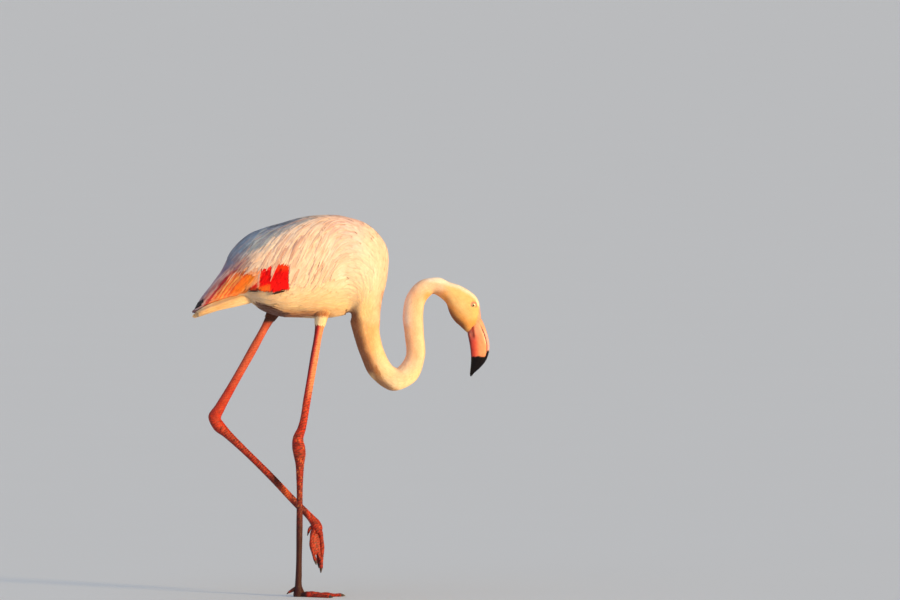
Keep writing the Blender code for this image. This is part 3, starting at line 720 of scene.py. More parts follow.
# --------------------------------------------------------------------------------------- materials
class Finish:
    """A material in the making, with its shader and the piece's own place."""

    def __init__(self, name):
        self.material = bpy.data.materials.new(name)
        self.material.use_nodes = True
        self.nodes, self.links = self.material.node_tree.nodes, self.material.node_tree.links
        self.shader = self.nodes["Principled BSDF"]
        self.place = self.nodes.new("ShaderNodeTexCoord").outputs["Object"]

    def dye(self):
        """The colours that the piece's mesh carries."""
        made = self.nodes.new("ShaderNodeAttribute")
        made.attribute_name = "tint"
        return made.outputs["Color"]

    def feed(self, value, socket):
        """Sets a socket to a number or a colour, or links another node's output to it."""
        if isinstance(value, (int, float)):
            socket.default_value = value
        elif isinstance(value, tuple):
            socket.default_value = (*value, 1.0)
        else:
            self.links.new(value, socket)

    def noise(self, scale, detail=4.0, roughness=0.6, vector=None):
        """Uneven grey over the piece."""
        made = self.nodes.new("ShaderNodeTexNoise")
        for label, number in (("Scale", scale), ("Detail", detail), ("Roughness", roughness)):
            made.inputs[label].default_value = number
        self.links.new(self.place if vector is None else vector, made.inputs["Vector"])
        return made.outputs["Fac"]

    def ranged(self, value, low, high, to_low=0.0, to_high=1.0):
        """The value carried smoothly from one range to another."""
        made = self.nodes.new("ShaderNodeMapRange")
        made.interpolation_type = "SMOOTHSTEP"
        limits = {"From Min": low, "From Max": high, "To Min": to_low, "To Max": to_high}
        for label, number in limits.items():
            made.inputs[label].default_value = number
        self.links.new(value, made.inputs["Value"])
        return made.outputs["Result"]

    def maths(self, operation, *values):
        """One sum on values or numbers."""
        made = self.nodes.new("ShaderNodeMath")
        made.operation = operation
        for socket, value in zip(made.inputs, values):
            self.feed(value, socket)
        return made.outputs["Value"]

    def mixed(self, share, first, second, mode="MIX"):
        """The first colour with a share of the second laid over it."""
        made = self.nodes.new("ShaderNodeMix")
        made.data_type = "RGBA"
        made.blend_type = mode
        for place, value in ((0, share), (6, first), (7, second)):
            self.feed(value, made.inputs[place])
        return made.outputs[2]

    def deeper(self, colour, share):
        """The colour with a share of it multiplied by itself."""
        return self.mixed(share, colour, colour, "MULTIPLY")

    def done(self, settings, relief=None, depth=0.0, strength=1.0):
        """Feeds the shader's sockets by name and adds a relief of the given depth."""
        for label, value in settings.items():
            self.feed(value, self.shader.inputs[label])
        if relief is not None:
            bump = self.nodes.new("ShaderNodeBump")
            bump.inputs["Distance"].default_value = depth
            bump.inputs["Strength"].default_value = strength
            self.links.new(relief, bump.inputs["Height"])
            self.links.new(bump.outputs["Normal"], self.shader.inputs["Normal"])
        return self.material


SHAFT_BROWN = (0.55, 0.32, 0.24)
BARB_SLANT, BARB_COUNT = 0.55, 190.0


def feather_finish(name, barb_strength, roughness, edge_colour, edge_share, shaft_share):
    """Vane: fine slanted barbs beside a shaft, an edge of its own colour, and soft uneven dye."""
    finish = Finish(name)
    vane = finish.nodes.new("ShaderNodeUVMap")
    vane.uv_map = "Vane"
    parts = finish.nodes.new("ShaderNodeSeparateXYZ")
    finish.links.new(vane.outputs["UV"], parts.inputs[0])
    across = finish.maths("ABSOLUTE", finish.maths("SUBTRACT", parts.outputs["X"], 0.5))
    slant = finish.maths("MULTIPLY", across, BARB_SLANT)
    slant = finish.maths("SUBTRACT", parts.outputs["Y"], slant)
    barbs = finish.maths("SINE", finish.maths("MULTIPLY", slant, BARB_COUNT))
    barbs = finish.ranged(barbs, -1.0, 1.0)
    shaft = finish.ranged(across, 0.02, 0.06, shaft_share, 0.0)
    edge = finish.ranged(across, 0.26, 0.5, 0.0, edge_share)
    patchy = finish.ranged(finish.noise(60.0), 0.35, 0.75, 0.0, 0.35)
    colour = finish.mixed(patchy, finish.dye(), (1, 1, 1), "SOFT_LIGHT")
    barbed = finish.maths("MULTIPLY", barbs, barb_strength)
    colour = finish.mixed(barbed, colour, finish.deeper(colour, 0.55))
    colour = finish.mixed(edge, colour, edge_colour)
    colour = finish.mixed(shaft, colour, SHAFT_BROWN)
    settings = {
        "Base Color": colour,
        "Roughness": roughness,
        "Specular IOR Level": 0.15,
        "Sheen Weight": 0.06,
        "Sheen Roughness": 0.5,
    }
    return finish.done(settings, barbs, 0.0002, 0.2)


def skin_finish():
    """Skin under the coat and on the bare face and legs, with fine pores and an uneven flush."""
    finish = Finish("bare_skin")
    tint = finish.dye()
    blotch = finish.ranged(finish.noise(140.0, 5.0, 0.65), 0.40, 0.68, 0.0, 0.55)
    pores = finish.noise(900.0, 3.0)
    scales = finish.nodes.new("ShaderNodeTexVoronoi")
    scales.feature = "DISTANCE_TO_EDGE"
    scales.inputs["Scale"].default_value = 1300.0
    finish.links.new(finish.place, scales.inputs["Vector"])
    crease = finish.ranged(scales.outputs["Distance"], 0.0, 0.12)
    dark = finish.deeper(tint, 0.6)
    colour = finish.mixed(blotch, tint, dark)
    colour = finish.mixed(finish.ranged(crease, 0.0, 1.0, 0.22, 0.0), colour, dark)
    settings = {
        "Base Color": colour,
        "Roughness": finish.ranged(pores, 0.3, 0.7, 0.30, 0.52),
        "Specular IOR Level": 0.30,
    }
    return finish.done(settings, finish.maths("ADD", crease, pores), 0.0003, 0.5)


def bill_finish():
    """Satin horn with long faint grooves and a worn, mottled dye."""
    finish = Finish("bill_horn")
    tint = finish.dye()
    stretch = finish.nodes.new("ShaderNodeMapping")
    stretch.inputs["Scale"].default_value = (1.0, 1.0, 0.16)
    finish.links.new(finish.place, stretch.inputs["Vector"])
    grooves = finish.noise(700.0, 3.0, vector=stretch.outputs["Vector"])
    worn = finish.ranged(finish.noise(160.0, 5.0), 0.42, 0.72, 0.0, 0.5)
    settings = {
        "Base Color": finish.mixed(worn, tint, finish.deeper(tint, 0.5)),
        "Roughness": finish.ranged(grooves, 0.3, 0.7, 0.22, 0.42),
        "Specular IOR Level": 0.2,
        "Coat Weight": 0.02,
        "Coat Roughness": 0.3,
    }
    return finish.done(settings, grooves, 0.00025, 0.4)


def claw_finish():
    """Near-black horn, mottled brown."""
    finish = Finish("claw_horn")
    mottle = finish.noise(500.0)
    settings = {
        "Base Color": finish.mixed(mottle, (0.012, 0.008, 0.007), (0.10, 0.055, 0.04)),
        "Roughness": finish.ranged(mottle, 0.3, 0.7, 0.25, 0.5),
    }
    return finish.done(settings, mottle, 0.0001, 0.5)


def eye_finish():
    """A wet, clear-coated ball with fine dark flecks in its dye."""
    finish = Finish("wet_eye")
    tint = finish.dye()
    flecks = finish.ranged(finish.noise(1500.0), 0.4, 0.7, 0.0, 0.6)
    settings = {
        "Base Color": finish.mixed(flecks, tint, finish.deeper(tint, 0.5)),
        "Roughness": 0.08,
        "Coat Weight": 1.0,
        "Coat Roughness": 0.02,
    }
    return finish.done(settings)


def floor_finish():
    """Pale grey, almost even."""
    finish = Finish("floor")
    tone = finish.mixed(finish.noise(2.0), (0.765, 0.765, 0.765), (0.775, 0.775, 0.775))
    return finish.done({"Base Color": tone, "Roughness": 0.8})


# name, strength of the barbs, roughness, edge's colour and share, share of the shaft
down_feathers = feather_finish("contour_feathers", 0.12, 0.78, (0.90, 0.66, 0.55), 0.12, 0.03)
# the back plumes' darker pink-brown edges are painted shade between the strands
plume_feathers = feather_finish("back_plumes", 0.25, 0.70, (0.62, 0.38, 0.32), 0.26, 0.06)
long_feathers = feather_finish("flight_feathers", 0.30, 0.70, (0.80, 0.36, 0.26), 0.04, 0.05)
bright_feathers = feather_finish("crimson_coverts", 0.15, 0.80, (0.75, 0.01, 0.01), 0.10, 0.0)
bare_skin = skin_finish()
bill_horn = bill_finish()
claw_horn = claw_finish()
wet_eye = eye_finish()
floor_paint = floor_finish()


# --------------------------------------------------------------------------------------------- skin
def limb_rings(rows, turns):
    """Rings square to a path in space, each an ellipse about its row's place.

    A row is x, y, z, half thickness fore and aft, and half thickness across.
    """
    ahead = unit(np.gradient(rows[:, :3], axis=0))
    across = unit(np.array([0.0, 1.0, 0.0]) - ahead[:, 1:2] * ahead)
    fore = np.cross(ahead, across)
    return (
        rows[:, None, :3]
        + fore[:, None] * (rows[:, 3:4] * np.cos(turns))[:, :, None]
        + across[:, None] * (rows[:, 4:5] * np.sin(turns))[:, :, None]
    )


def leg_colours(points):
    """Red-orange, browner toward the standing foot, with plates and flecks, painted shade,
    highlights and glints, and one painted cast shadow.
    """
    x, z = points[..., 0], points[..., 2]
    pinker = 0.35 + 0.45 * ripple(points, 0.05, 11)
    colour = blend(np.broadcast_to(LEG_RED, points.shape), LEG_PINK, pinker)
    blotch = np.clip(ripple(points, 0.011, 12) + 0.15, 0, 1)
    colour = blend(colour, LEG_DARK, 0.5 * blotch * step(0.44, 0.30, z))
    colour = blend(colour, LEG_PALE, (0.40 + 0.3 * step(-0.01, 0.01, x)) * step(0.38, 0.49, z))
    # the standing shank: painted shade, crimson and then dark, toward its hind edge, and a painted
    # highlight at its front
    shank_shading = step(0.38, 0.43, z) * step(-0.02, 0.0, x)
    across = x - np.interp(z, *SHANK_MIDDLE)
    colour = blend(colour, SHANK_SHADE_CRIMSON, 0.85 * shank_shading * step(0.0010, -0.0022, across))
    colour = blend(colour, SHANK_SHADE, 0.75 * shank_shading * step(-0.0020, -0.0044, across))
    colour = blend(colour, SHANK_HIGHLIGHT, 0.75 * shank_shading * step(0.0004, 0.0030, across))
    # the raised shank a little deeper, and the standing tarsus darker and darker downward
    colour = colour * (1 - 0.16 * step(-0.03, -0.05, x) * step(0.34, 0.37, z))[..., None]
    standing = between(x, -0.022, -0.012, 0.014, 0.020)
    darker = 0.30 * step(0.33, 0.28, z) + 0.68 * step(0.27, 0.10, z)
    colour = blend(colour, LEG_DARK, standing * darker)
    # the raised tarsus: painted shade behind, orange where it nears the standing one, dark at its
    # foot
    raised = step(0.02, 0.01, x) * step(0.345, 0.320, z) * (z > 0.17) * (1 - standing)
    colour = blend(colour, LEG_DARK, 0.28 * raised * step(-0.030, -0.070, x))
    colour = blend(colour, TARSUS_ORANGE, 0.6 * raised * step(-0.050, -0.020, x))
    colour = blend(colour, LEG_DARK, 0.25 * step(0.02, 0.03, x) * step(0.17, 0.15, z))
    # creases between the plates, square to each bone, and flecks and painted glints over them
    lying = step(0.345, 0.330, z) * (1 - standing)
    down = z * (1 - 0.3 * lying) - 0.70 * x * lying
    plates = np.abs(np.sin(down * math.pi / LEG_PLATE + 0.8 * ripple(points, 0.016, 16)))
    plates = plates + 0.35 * ripple(points, 0.006, 13)
    rough = step(0.545, 0.500, z) * (0.24 + 0.50 * step(0.38, 0.31, z))
    colour = blend(colour, LEG_DARK, rough * step(0.42, 0.12, plates))
    fleck = step(0.05, 0.40, ripple(points, 0.0042, 14) + 0.5 * ripple(points, 0.0095, 15))
    speckled = 0.80 * step(0.47, 0.38, z) * step(-0.02, -0.01, x) * (z > 0.28)
    colour = blend(colour, FLECK_BROWN, 0.95 * fleck * np.maximum(rough, speckled))
    # painted glints on the standing tarsus
    glint = step(0.45, 0.8, ripple(points, 0.0052, 17) + 0.4 * ripple(points, 0.012, 18))
    glint = glint * standing * between(z, 0.14, 0.20, 0.30, 0.34)
    colour = blend(colour, GLINT_ORANGE, 0.6 * glint)
    # a painted cast shadow of the standing leg across the raised tarsus
    return blend(colour, LEG_DARK, 0.8 * bell(x, -0.046, 0.014) * bell(z, 0.231, 0.012))


def skin_colours(points):
    """Plumage markings with painted light and shade over the body, bare pink round the eye and to
    the bill, red on the legs.
    """
    x, y, z = (points[..., k] for k in range(3))
    colour = blend(markings_and_painted_light(points), LORE_PINK, bare_face(points))
    peach = step(0.566, 0.550, z - 0.62 * (x - 0.352)) * step(0.318, 0.332, x)
    colour = blend(colour, FACE_PEACH, peach)
    colour = blend(colour, CREASE_RED, 0.8 * gape_crease(x, z) * (x > 0.30))
    off = np.hypot(x - EYE_PLACE[0], (z - EYE_PLACE[1]) / LID_SQUAT)
    lid = (x > 0.30) * (np.abs(y) > 0.0150)
    colour = blend(colour, LID_PINK, 0.6 * lid * step(0.0070, 0.0062, off))
    colour = blend(colour, LID_RIM, 0.85 * lid * step(0.0047, 0.0042, off))
    legs = step(0.120, 0.110, x) * step(0.552, 0.546, z)
    return blend(colour, leg_colours(points), legs)


def bare_face(points):
    """1 on the bare skin in front of the eye and round it, 0 on the feathers."""
    x, z = points[..., 0], points[..., 2]
    edge = 0.0009 * np.sin(z * 1900) + 0.0006 * np.sin(z * 4300 + 1)
    lore = step(0.3548, 0.3572, x + edge - 0.17 * (z - 0.545)) * step(0.5885, 0.5800, z)
    ring = step(0.0084, 0.0068, np.hypot(x - EYE_PLACE[0], z - EYE_PLACE[1]))
    return np.maximum(lore, ring) * step(0.30, 0.31, x)


def body_shell(columns):
    """The body's outline less the coat's depth, drawn in round each eye to make its socket."""
    neck_end = body.length - HEAD_STRETCH
    along = [np.linspace(0.004, neck_end, 250), np.linspace(neck_end, body.length, 130)[1:]]
    along, turn = np.meshgrid(np.concatenate(along), turns_round(columns), indexing="ij")
    outline = body.point(along, turn)
    rings = body.point(along, turn, -body.coat(along) - wing_ledge(outline) - wing_bed(outline))
    reach = np.hypot(rings[..., 0] - EYE_PLACE[0], rings[..., 2] - EYE_PLACE[1])
    hollow = 0.0012 * step(0.011, 0.005, reach) * step(0.008, 0.012, np.abs(rings[..., 1]))
    rings[..., 1] -= np.sign(rings[..., 1]) * hollow
    return rings


def tail_shell(columns):
    """The tail's outline less most of its coat's depth."""
    along = np.linspace(0.010, tail.length, 60)
    along, turn = np.meshgrid(along, turns_round(columns), indexing="ij")
    return tail.point(along, turn, -0.6 * tail.coat(along))


def leg_shell(surface, columns, count):
    """A leg whose plates swell a little between their creases.

    In front a plate swells as the sine of the distance along; behind, two sines make cobbles.
    """
    along = np.linspace(0, surface.length, count)
    along, turn = np.meshgrid(along, turns_round(columns), indexing="ij")
    bare = step(0.095, 0.115, along)
    front = 0.5 + 0.5 * np.cos(turn)
    plate = np.abs(np.sin(along * math.pi / LEG_PLATE)) ** 0.7
    rows = np.sin(along * math.pi / LEG_COBBLE + 1.2 * np.sin(4 * turn))
    cobble = np.abs(rows * np.sin(5 * turn)) ** 0.5
    lift = bare * (0.00055 * front * (plate - 0.7) + 0.00035 * (1 - front) * (cobble - 0.6))
    return surface.point(along, turn, lift)


def lid_ring(side):
    """A soft ring round the eye's opening, fuller above than below: the eyelids."""
    turn, section = np.meshgrid(turns_round(64), turns_round(16), indexing="ij")
    full = 0.00125 + 0.00035 * np.sin(turn)
    reach = 0.0051 + 0.0005 * np.cos(turn) ** 2 + full * np.cos(section)
    reach = reach + 0.00012 * np.sin(14 * turn) * np.cos(section)
    x = EYE_PLACE[0] + reach * np.cos(turn)
    y = side * (0.0160 + 0.9 * full * np.sin(section))
    z = EYE_PLACE[1] + LID_SQUAT * reach * np.sin(turn)
    return np.stack([x, y, z], axis=-1)


def toe_rows(points, root, tip, count):
    """A toe's path with its half thicknesses and the distance along it.

    The thickness swells at the knuckles as a cosine, and thins to the tip.
    """
    path = smooth([(*point, 0.0) for point in points], count)[:, :3]
    share = np.linspace(0, 1, len(path))
    thick = (root + (tip - root) * share) * (1 + 0.12 * np.cos(6 * math.pi * share))
    steps = np.linalg.norm(np.diff(path, axis=0), axis=1)
    return np.column_stack([path, thick, thick, np.concatenate([[0], np.cumsum(steps)])])


def toe_shell(rows, columns=20):
    """The toe's tube, ringed by small plates."""
    plates = 1 + 0.07 * (np.abs(np.sin(rows[:, 5] * math.pi / TOE_PLATE)) ** 0.7 - 0.7)
    swollen = rows.copy()
    swollen[:, 3:5] *= plates[:, None]
    return limb_rings(swollen, turns_round(columns))


def web_shell(near, far, height):
    """A thin pleated sheet between two toes, whose front edge curves back between them."""
    share = np.linspace(0.10, 0.90, 46)[:, None]
    across = np.linspace(0, 1, 26)[None, :]
    pull = share * (1 - 0.17 * share * 4 * across * (1 - across))
    ends = []
    for toe in (near, far):
        at = np.linspace(0, 1, len(toe))
        ends.append(np.stack([np.interp(pull, at, toe[:, k]) for k in range(3)], axis=-1))
    sheet = ends[0] * (1 - across)[..., None] + ends[1] * across[..., None]
    if height is not None:
        sheet[..., 2] = height
    by_share, by_across = np.gradient(sheet, axis=0), np.gradient(sheet, axis=1)
    normal = unit(np.cross(by_across, by_share))
    pleat = 0.00018 * np.sin(22 * across + 3 * share) * np.sin(math.pi * across)
    thick = (0.00075 + 0.0004 * np.abs(2 * across - 1))[..., None]
    top = sheet + normal * (thick + pleat[..., None])
    under = sheet - normal * thick
    return np.concatenate([top, under[:, ::-1]], axis=1)


def foot_rows(side):
    """Three toes and the hind toe: their paths, half thicknesses and distances along."""
    toes = []
    for name, degrees, length, root, tip in TOES:
        if side == "right":
            turn = math.radians(degrees)
            reach = length * np.array([0.0, 0.5, 1.0])
            flat = np.stack([reach * math.cos(turn), reach * math.sin(turn), 0 * reach], 1)
            toe = toe_rows(flat, root, tip, 34)
            toe[:, 2] = 0.80 * toe[:, 3]
        else:
            toe = toe_rows([FOLDED_JOINT] + FOLDED_TOES[name], root, tip, 22)
        toes.append(toe)
    hind = smooth(HIND_TOE[side], 14)
    along = np.linspace(0, HIND_TOE_LENGTH, len(hind))
    return toes, np.column_stack([hind, hind[:, 3], along])


def hub_shell(rows):
    """The ball of the foot: rings along its smoothed path."""
    return limb_rings(smooth(rows, 10), turns_round(28))


def above_floor(rings):
    """The rings, with what would lie below the floor laid flat on it."""
    rings = rings.copy()
    rings[..., 2] = np.maximum(rings[..., 2], 0.0)
    return rings


def united(first, others):
    """One closed skin from overlapping closed shells."""
    for other in others:
        union = first.modifiers.new("Union", "BOOLEAN")
        union.operation = "UNION"
        union.solver = "MANIFOLD"
        union.object = other
        bpy.context.view_layer.update()
        graph = bpy.context.evaluated_depsgraph_get()
        done = bpy.data.meshes.new_from_object(first.evaluated_get(graph))
        first.modifiers.clear()
        first.data = done
        bpy.data.objects.remove(other, do_unlink=True)
    return first


def ring_shell(name, rings):
    """A shell closed both ways, such as a ring round an eye."""
    rows, columns = rings.shape[:2]
    low = np.arange(rows)[:, None] * columns
    high = (np.arange(rows)[:, None] + 1) % rows * columns
    side = np.arange(columns)[None, :]
    next_side = (side + 1) % columns
    faces = [low + side, low + next_side, high + next_side, high + side]
    faces = np.stack(faces, axis=-1).reshape(-1, 4)
    if signed_volume(rings.reshape(-1, 3), faces) < 0:
        faces = faces[:, ::-1]
    return mesh_object(name, rings, faces, bare_skin)


def make_skin():
    """The body's shell united with those of the tail, legs, feet and lids, and coloured by place,
    painted light and shade included.
    """
    shells = [tube_mesh("shell_tail", tail_shell(48), bare_skin)]
    for side, surface in (("right", leg_right), ("left", leg_left)):
        shells.append(tube_mesh("shell_leg_" + side, leg_shell(surface, 28, 620), bare_skin))
        toes, hind = foot_rows(side)
        height = WEB_HEIGHT if side == "right" else None
        tubes = [toe_shell(toe) for toe in toes] + [toe_shell(hind, 16), hub_shell(HUB[side])]
        tubes += [web_shell(toes[k], toes[k + 1], height) for k in range(2)]
        for k, rings in enumerate(tubes):
            rings = above_floor(rings) if side == "right" else rings
            shells.append(tube_mesh("shell_foot_%s_%d" % (side, k), rings, bare_skin))
    for name, side in (("right", -1), ("left", 1)):
        shells.append(ring_shell("shell_lid_" + name, lid_ring(side)))
    skin = united(tube_mesh("skin", body_shell(80), bare_skin), shells)
    mesh = skin.data
    points = np.empty(len(mesh.vertices) * 3)
    mesh.vertices.foreach_get("co", points)
    colours = np.ones((len(mesh.vertices), 4))
    colours[:, :3] = skin_colours(points.reshape(-1, 3))
    tint = mesh.attributes.new("tint", "FLOAT_COLOR", "POINT")
    tint.data.foreach_set("color", colours.ravel())
    mesh.polygons.foreach_set("use_smooth", np.ones(len(mesh.polygons), bool))
    mesh.update()
    return skin


# ----------------------------------------------------------------------------- bill, eyes and claws
def gape_crease(x, z):
    """The dark fold at the corner of the mouth, from the face down the lower half of the bill."""
    middle = 0.3492 + 0.135 * (0.5407 - z)
    return bell(x, middle, 0.0030) * between(z, 0.512, 0.524, 0.540, 0.546)


def bill_colours(points, upper, lip):
    """Pink-orange horn that ends in black, paler along the upper half, redder at the inner edge.

    `lip` is 1 along the parting of the two halves, which is dark.
    """
    x, z = points[..., 0], points[..., 2]
    coral = 0.95 * step(0.367, 0.350, x) * step(0.540, 0.512, z)
    colour = blend(np.broadcast_to(BILL_ORANGE, points.shape), BILL_CORAL, coral)
    colour = blend(colour, BILL_PINK, 0.9 if upper else 0.25 * step(0.50, 0.54, z))
    colour = blend(colour, FACE_PEACH, step(0.534, 0.551, z + 0.55 * (x - 0.352)))
    # the face's colours, painted warm light included, run a little way onto the base, to a ragged
    # edge
    above = z - 0.528 - 1.09 * (x - 0.3384)
    face = step(-0.0030, 0.0015, above + 0.0012 * ripple(points, 0.005, 9))
    colour = blend(colour, markings_and_painted_light(points), face * step(0.3585, 0.3555, x))
    colour = blend(colour, CREASE_RED, 0.9 * gape_crease(x, z))
    base = between(above, -0.014, -0.003, -0.002, 0.001) * step(0.3540, 0.3500, x)
    colour = blend(colour, BASE_RED, 0.55 * base)
    keel = step(0.0042 + 0.0025 * step(0.500, 0.515, z), 0.0010, x - np.interp(z, *KEEL_LINE))
    colour = blend(colour, CREASE_RED, 0.85 * keel * (z > 0.480))
    colour = blend(colour, CREASE_RED, 0.95 * lip * step(0.550, 0.532, z))
    edge = 0.4812 + (0.0115 if upper else 0.0) + 0.0012 * ripple(points, 0.012, 8)
    return blend(colour, BILL_BLACK, step(edge + 0.0018, edge - 0.0014, z))


def make_bill_half(name, side):
    """Each section is one squared ellipse, parted along the gape into a deep trough and its lid.

    Nostril, grooves, comb and fold are bell curves round the section, drawn inward from it.
    """
    rows = smooth(BILL, 16)
    keel, ridge, half, share = rows[:, 0:2], rows[:, 2:4], rows[:, 4:5], rows[:, 5]
    middle, arm = (keel + ridge) / 2, (ridge - keel) / 2
    level = 1 - 2 * share + side * GAPE_GAP / 2 / np.linalg.norm(arm, axis=1)
    gape = np.arccos(np.sign(level) * np.abs(level) ** (BILL_SQUARE / 2))[:, None]
    part = np.linspace(-1, 1, 34 if side > 0 else 54)[None, :]
    turns = gape * part if side > 0 else gape + (2 * math.pi - 2 * gape) * (part + 1) / 2
    along = np.linspace(0, 1, len(rows))[:, None]
    up, across = superellipse(turns, BILL_SQUARE)
    out = np.abs(part)
    if side > 0:
        groove = bell(out, 0.66, 0.12) * step(0.62, 0.45, along)
        inward = 0.0007 * bell(out, 0.62, 0.09) * bell(along, 0.20, 0.055) + 0.00022 * groove
    else:
        comb = bell(out, 1, 0.06) * np.sin(along * math.pi * 150) * step(0.95, 0.85, along)
        groove = bell(out, 0.74, 0.05) * step(0.85, 0.7, along)
        fold = bell(out, 0.40, 0.08) * bell(along, 0.07, 0.07)
        inward = 0.00035 * groove + 0.00010 * comb + 0.0008 * fold
    inward = inward + 0.0007 * step(0.045, 0.0, along)
    shrink = 1 - inward / np.maximum(half, 0.002)
    flat = middle[:, None] + arm[:, None] * (up * shrink)[..., None]
    rings = np.stack([flat[..., 0], half * across * shrink, flat[..., 1]], axis=2)
    rings[0] += HORN_ROOT
    lip = bell(out, 1, 0.11 if side > 0 else 0.034) * np.ones_like(turns)
    return tube_mesh(name, rings, bill_horn, {"tint": bill_colours(rings, side > 0, lip)})


def make_eye(name, side):
    """A ball with a slightly bulged clear front: dark pupil, pale ringed iris, dark rim."""
    polar = np.linspace(0, math.pi, 61)[1:-1]
    polar, turn = np.meshgrid(polar, turns_round(64), indexing="ij")
    radius = EYE_RADIUS * (1 + 0.035 * bell(polar, 0, 0.55))
    depth = EYE_CHEEK + EYE_BULGE - EYE_RADIUS
    x = EYE_PLACE[0] + radius * np.sin(polar) * np.cos(turn)
    y = side * (depth + radius * np.cos(polar))
    z = EYE_PLACE[1] + radius * np.sin(polar) * np.sin(turn)
    rings = np.stack([x, y, z], axis=-1)
    spokes = 0.5 + 0.5 * np.sin(turn * 37) * np.sin(turn * 23 + polar * 8)
    colour = blend(np.broadcast_to(IRIS, rings.shape), IRIS_SPOKE, 0.35 * spokes)
    colour = blend(colour, IRIS_RING, step(0.50, 0.36, polar) * 0.6)
    colour = blend(colour, PUPIL, step(0.30, 0.27, polar))
    colour = blend(colour, EYE_RIM, step(0.80, 0.90, polar))
    return tube_mesh(name, rings, wet_eye, {"tint": colour})


def make_claws(side):
    """Short blunt nails that carry on from the toes and bend down a little.

    A nail thins as a power of the distance along it, under a fine ripple of growth.
    """
    toes, hind = foot_rows(side)
    nails = [(name, toe, *NAILS["toe"]) for (name, *_), toe in zip(TOES, toes)]
    for label, toe, length, drop in nails + [("hind", hind, *NAILS["hind"])]:
        ahead = unit(toe[-1, :3] - toe[-2, :3])
        share = np.linspace(0, 1, 26)[:, None]
        path = toe[-1, :3] - 0.0006 * ahead + ahead * length * share - [0, 0, drop] * share**2
        thick = toe[-1, 3] * 0.84 * (1 - 0.82 * share**1.6) * (1 + 0.03 * np.sin(share * 40))
        rings = limb_rings(np.column_stack([path, thick, thick * 0.92]), turns_round(20))
        rings = above_floor(rings) if side == "right" else rings
        claw = tube_mesh("nail_%s_%s" % (label, side), rings, claw_horn)
        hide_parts("claw_%s_%s" % (label, side))
        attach(claw, "root")


# ----------------------------------------------------------------------------------------- feathers
def profile(share, peak, point):
    """Half width along a vane: a quick rise to its widest place, then a rounded or pointed end."""
    rise = 0.32 + 0.68 * np.sin(0.5 * math.pi * np.clip(share / peak, 0, 1))
    past = np.clip((share - peak) / (1 - peak), 0, 1)
    return rise * (1 - (1 - VANE_TIP) * past**point)


def vane_faces(count, rings):
    """Four sides between each ring of four corners and the next, and a cap at either end."""
    start = np.arange(count)[:, None] * rings * 4
    first = start[..., None] + np.arange(rings - 1)[None, :, None] * 4
    corner = np.arange(4)[None, None, :]
    beside = (corner + 1) % 4
    sides = [first + corner, first + corner + 4, first + beside + 4, first + beside]
    last = start + (rings - 1) * 4
    caps = np.stack([start + np.array([0, 1, 2, 3]), last + np.array([3, 2, 1, 0])], axis=1)
    return np.concatenate([np.stack(sides, axis=-1).reshape(-1, 4), caps.reshape(-1, 4)])


def vane_shading(normals, across, sway):
    """A normal at each corner of each face of the vanes: the lie of the body under them.

    It leans a little to each edge and sways a little from one feather to the next, so the plumage
    reads as one soft coat. On the underside it is turned over.
    """
    count = len(normals)
    tilt = np.random.default_rng(count).normal(0, sway, (count, 1, 3))
    soft = unit(normals + tilt)
    lean = across[:, :, None] * np.array([-EDGE_LEAN, 0.0, EDGE_LEAN, 0.0])[:, None]
    corners = []
    for way, side in ((1, np.array([0, 1])), (-1, np.array([2, 3]))):
        whole = unit(way * soft[:, :, None] + lean)
        after = (side + 1) % 4
        face = [whole[:, :-1, side], whole[:, 1:, side], whole[:, 1:, after], whole[:, :-1, after]]
        corners.append(np.stack(face, 3))
    corners = np.concatenate(corners, axis=2).reshape(-1, 3)
    ends = np.stack([soft[:, :1].repeat(4, 1), soft[:, -1:].repeat(4, 1)], 1).reshape(-1, 3)
    return np.concatenate([corners, ends])


def vane_layouts(places, rings):
    """Two flat layouts of the corners: each vane's own, and that of the whole coat.

    The first runs across and along the vane from 0 to 1. The second has a small copy of it at each
    root's place.
    """
    count = len(places)
    share = np.linspace(0, 1, rings)[None, :, None]
    across = np.broadcast_to(np.array([0.0, 0.5, 1.0, 0.5]), (count, rings, 4))
    along = np.broadcast_to(share, (count, rings, 4)) + np.array([0.0, 0.04, 0.0, -0.04])
    vane = np.stack([across, along], axis=-1)
    low, high = places.min(axis=0), places.max(axis=0)
    root = LAYOUT_EDGE + LAYOUT_SPAN * (places - low) / (high - low)
    return vane, root[:, None, None, :] + VANE_ISLAND * (vane - 0.5) * np.array([1.0, 0.92])


def feather_mesh(name, spine, normals, half, thick, tints, places, finish, sway):
    """Vanes with a thin lens section. spine and normals: feather, ring, xyz. half: feather, ring.

    A ring's four corners are its two edges, which sag with the square of the width, and its ridge
    above and below.
    """
    count, rings = half.shape
    ahead = unit(np.gradient(spine, axis=1))
    across = unit(np.cross(normals, ahead))
    up = np.cross(ahead, across)
    half = half[..., None]
    edge = across * half
    sag = up * (EDGE_SAG * half**2)
    ridge = up * thick
    points = [spine - edge - sag, spine + ridge, spine + edge - sag, spine - 0.6 * ridge]
    vane, baked = vane_layouts(places, rings)
    colours = np.broadcast_to(tints[:, :, None, :], (count, rings, 4, 3)).reshape(-1, 3)
    return mesh_object(
        name, np.stack(points, 2), vane_faces(count, rings), finish,
        {"tint": colours}, {"OFBake": baked, "Vane": vane}, vane_shading(normals, across, sway),
    )


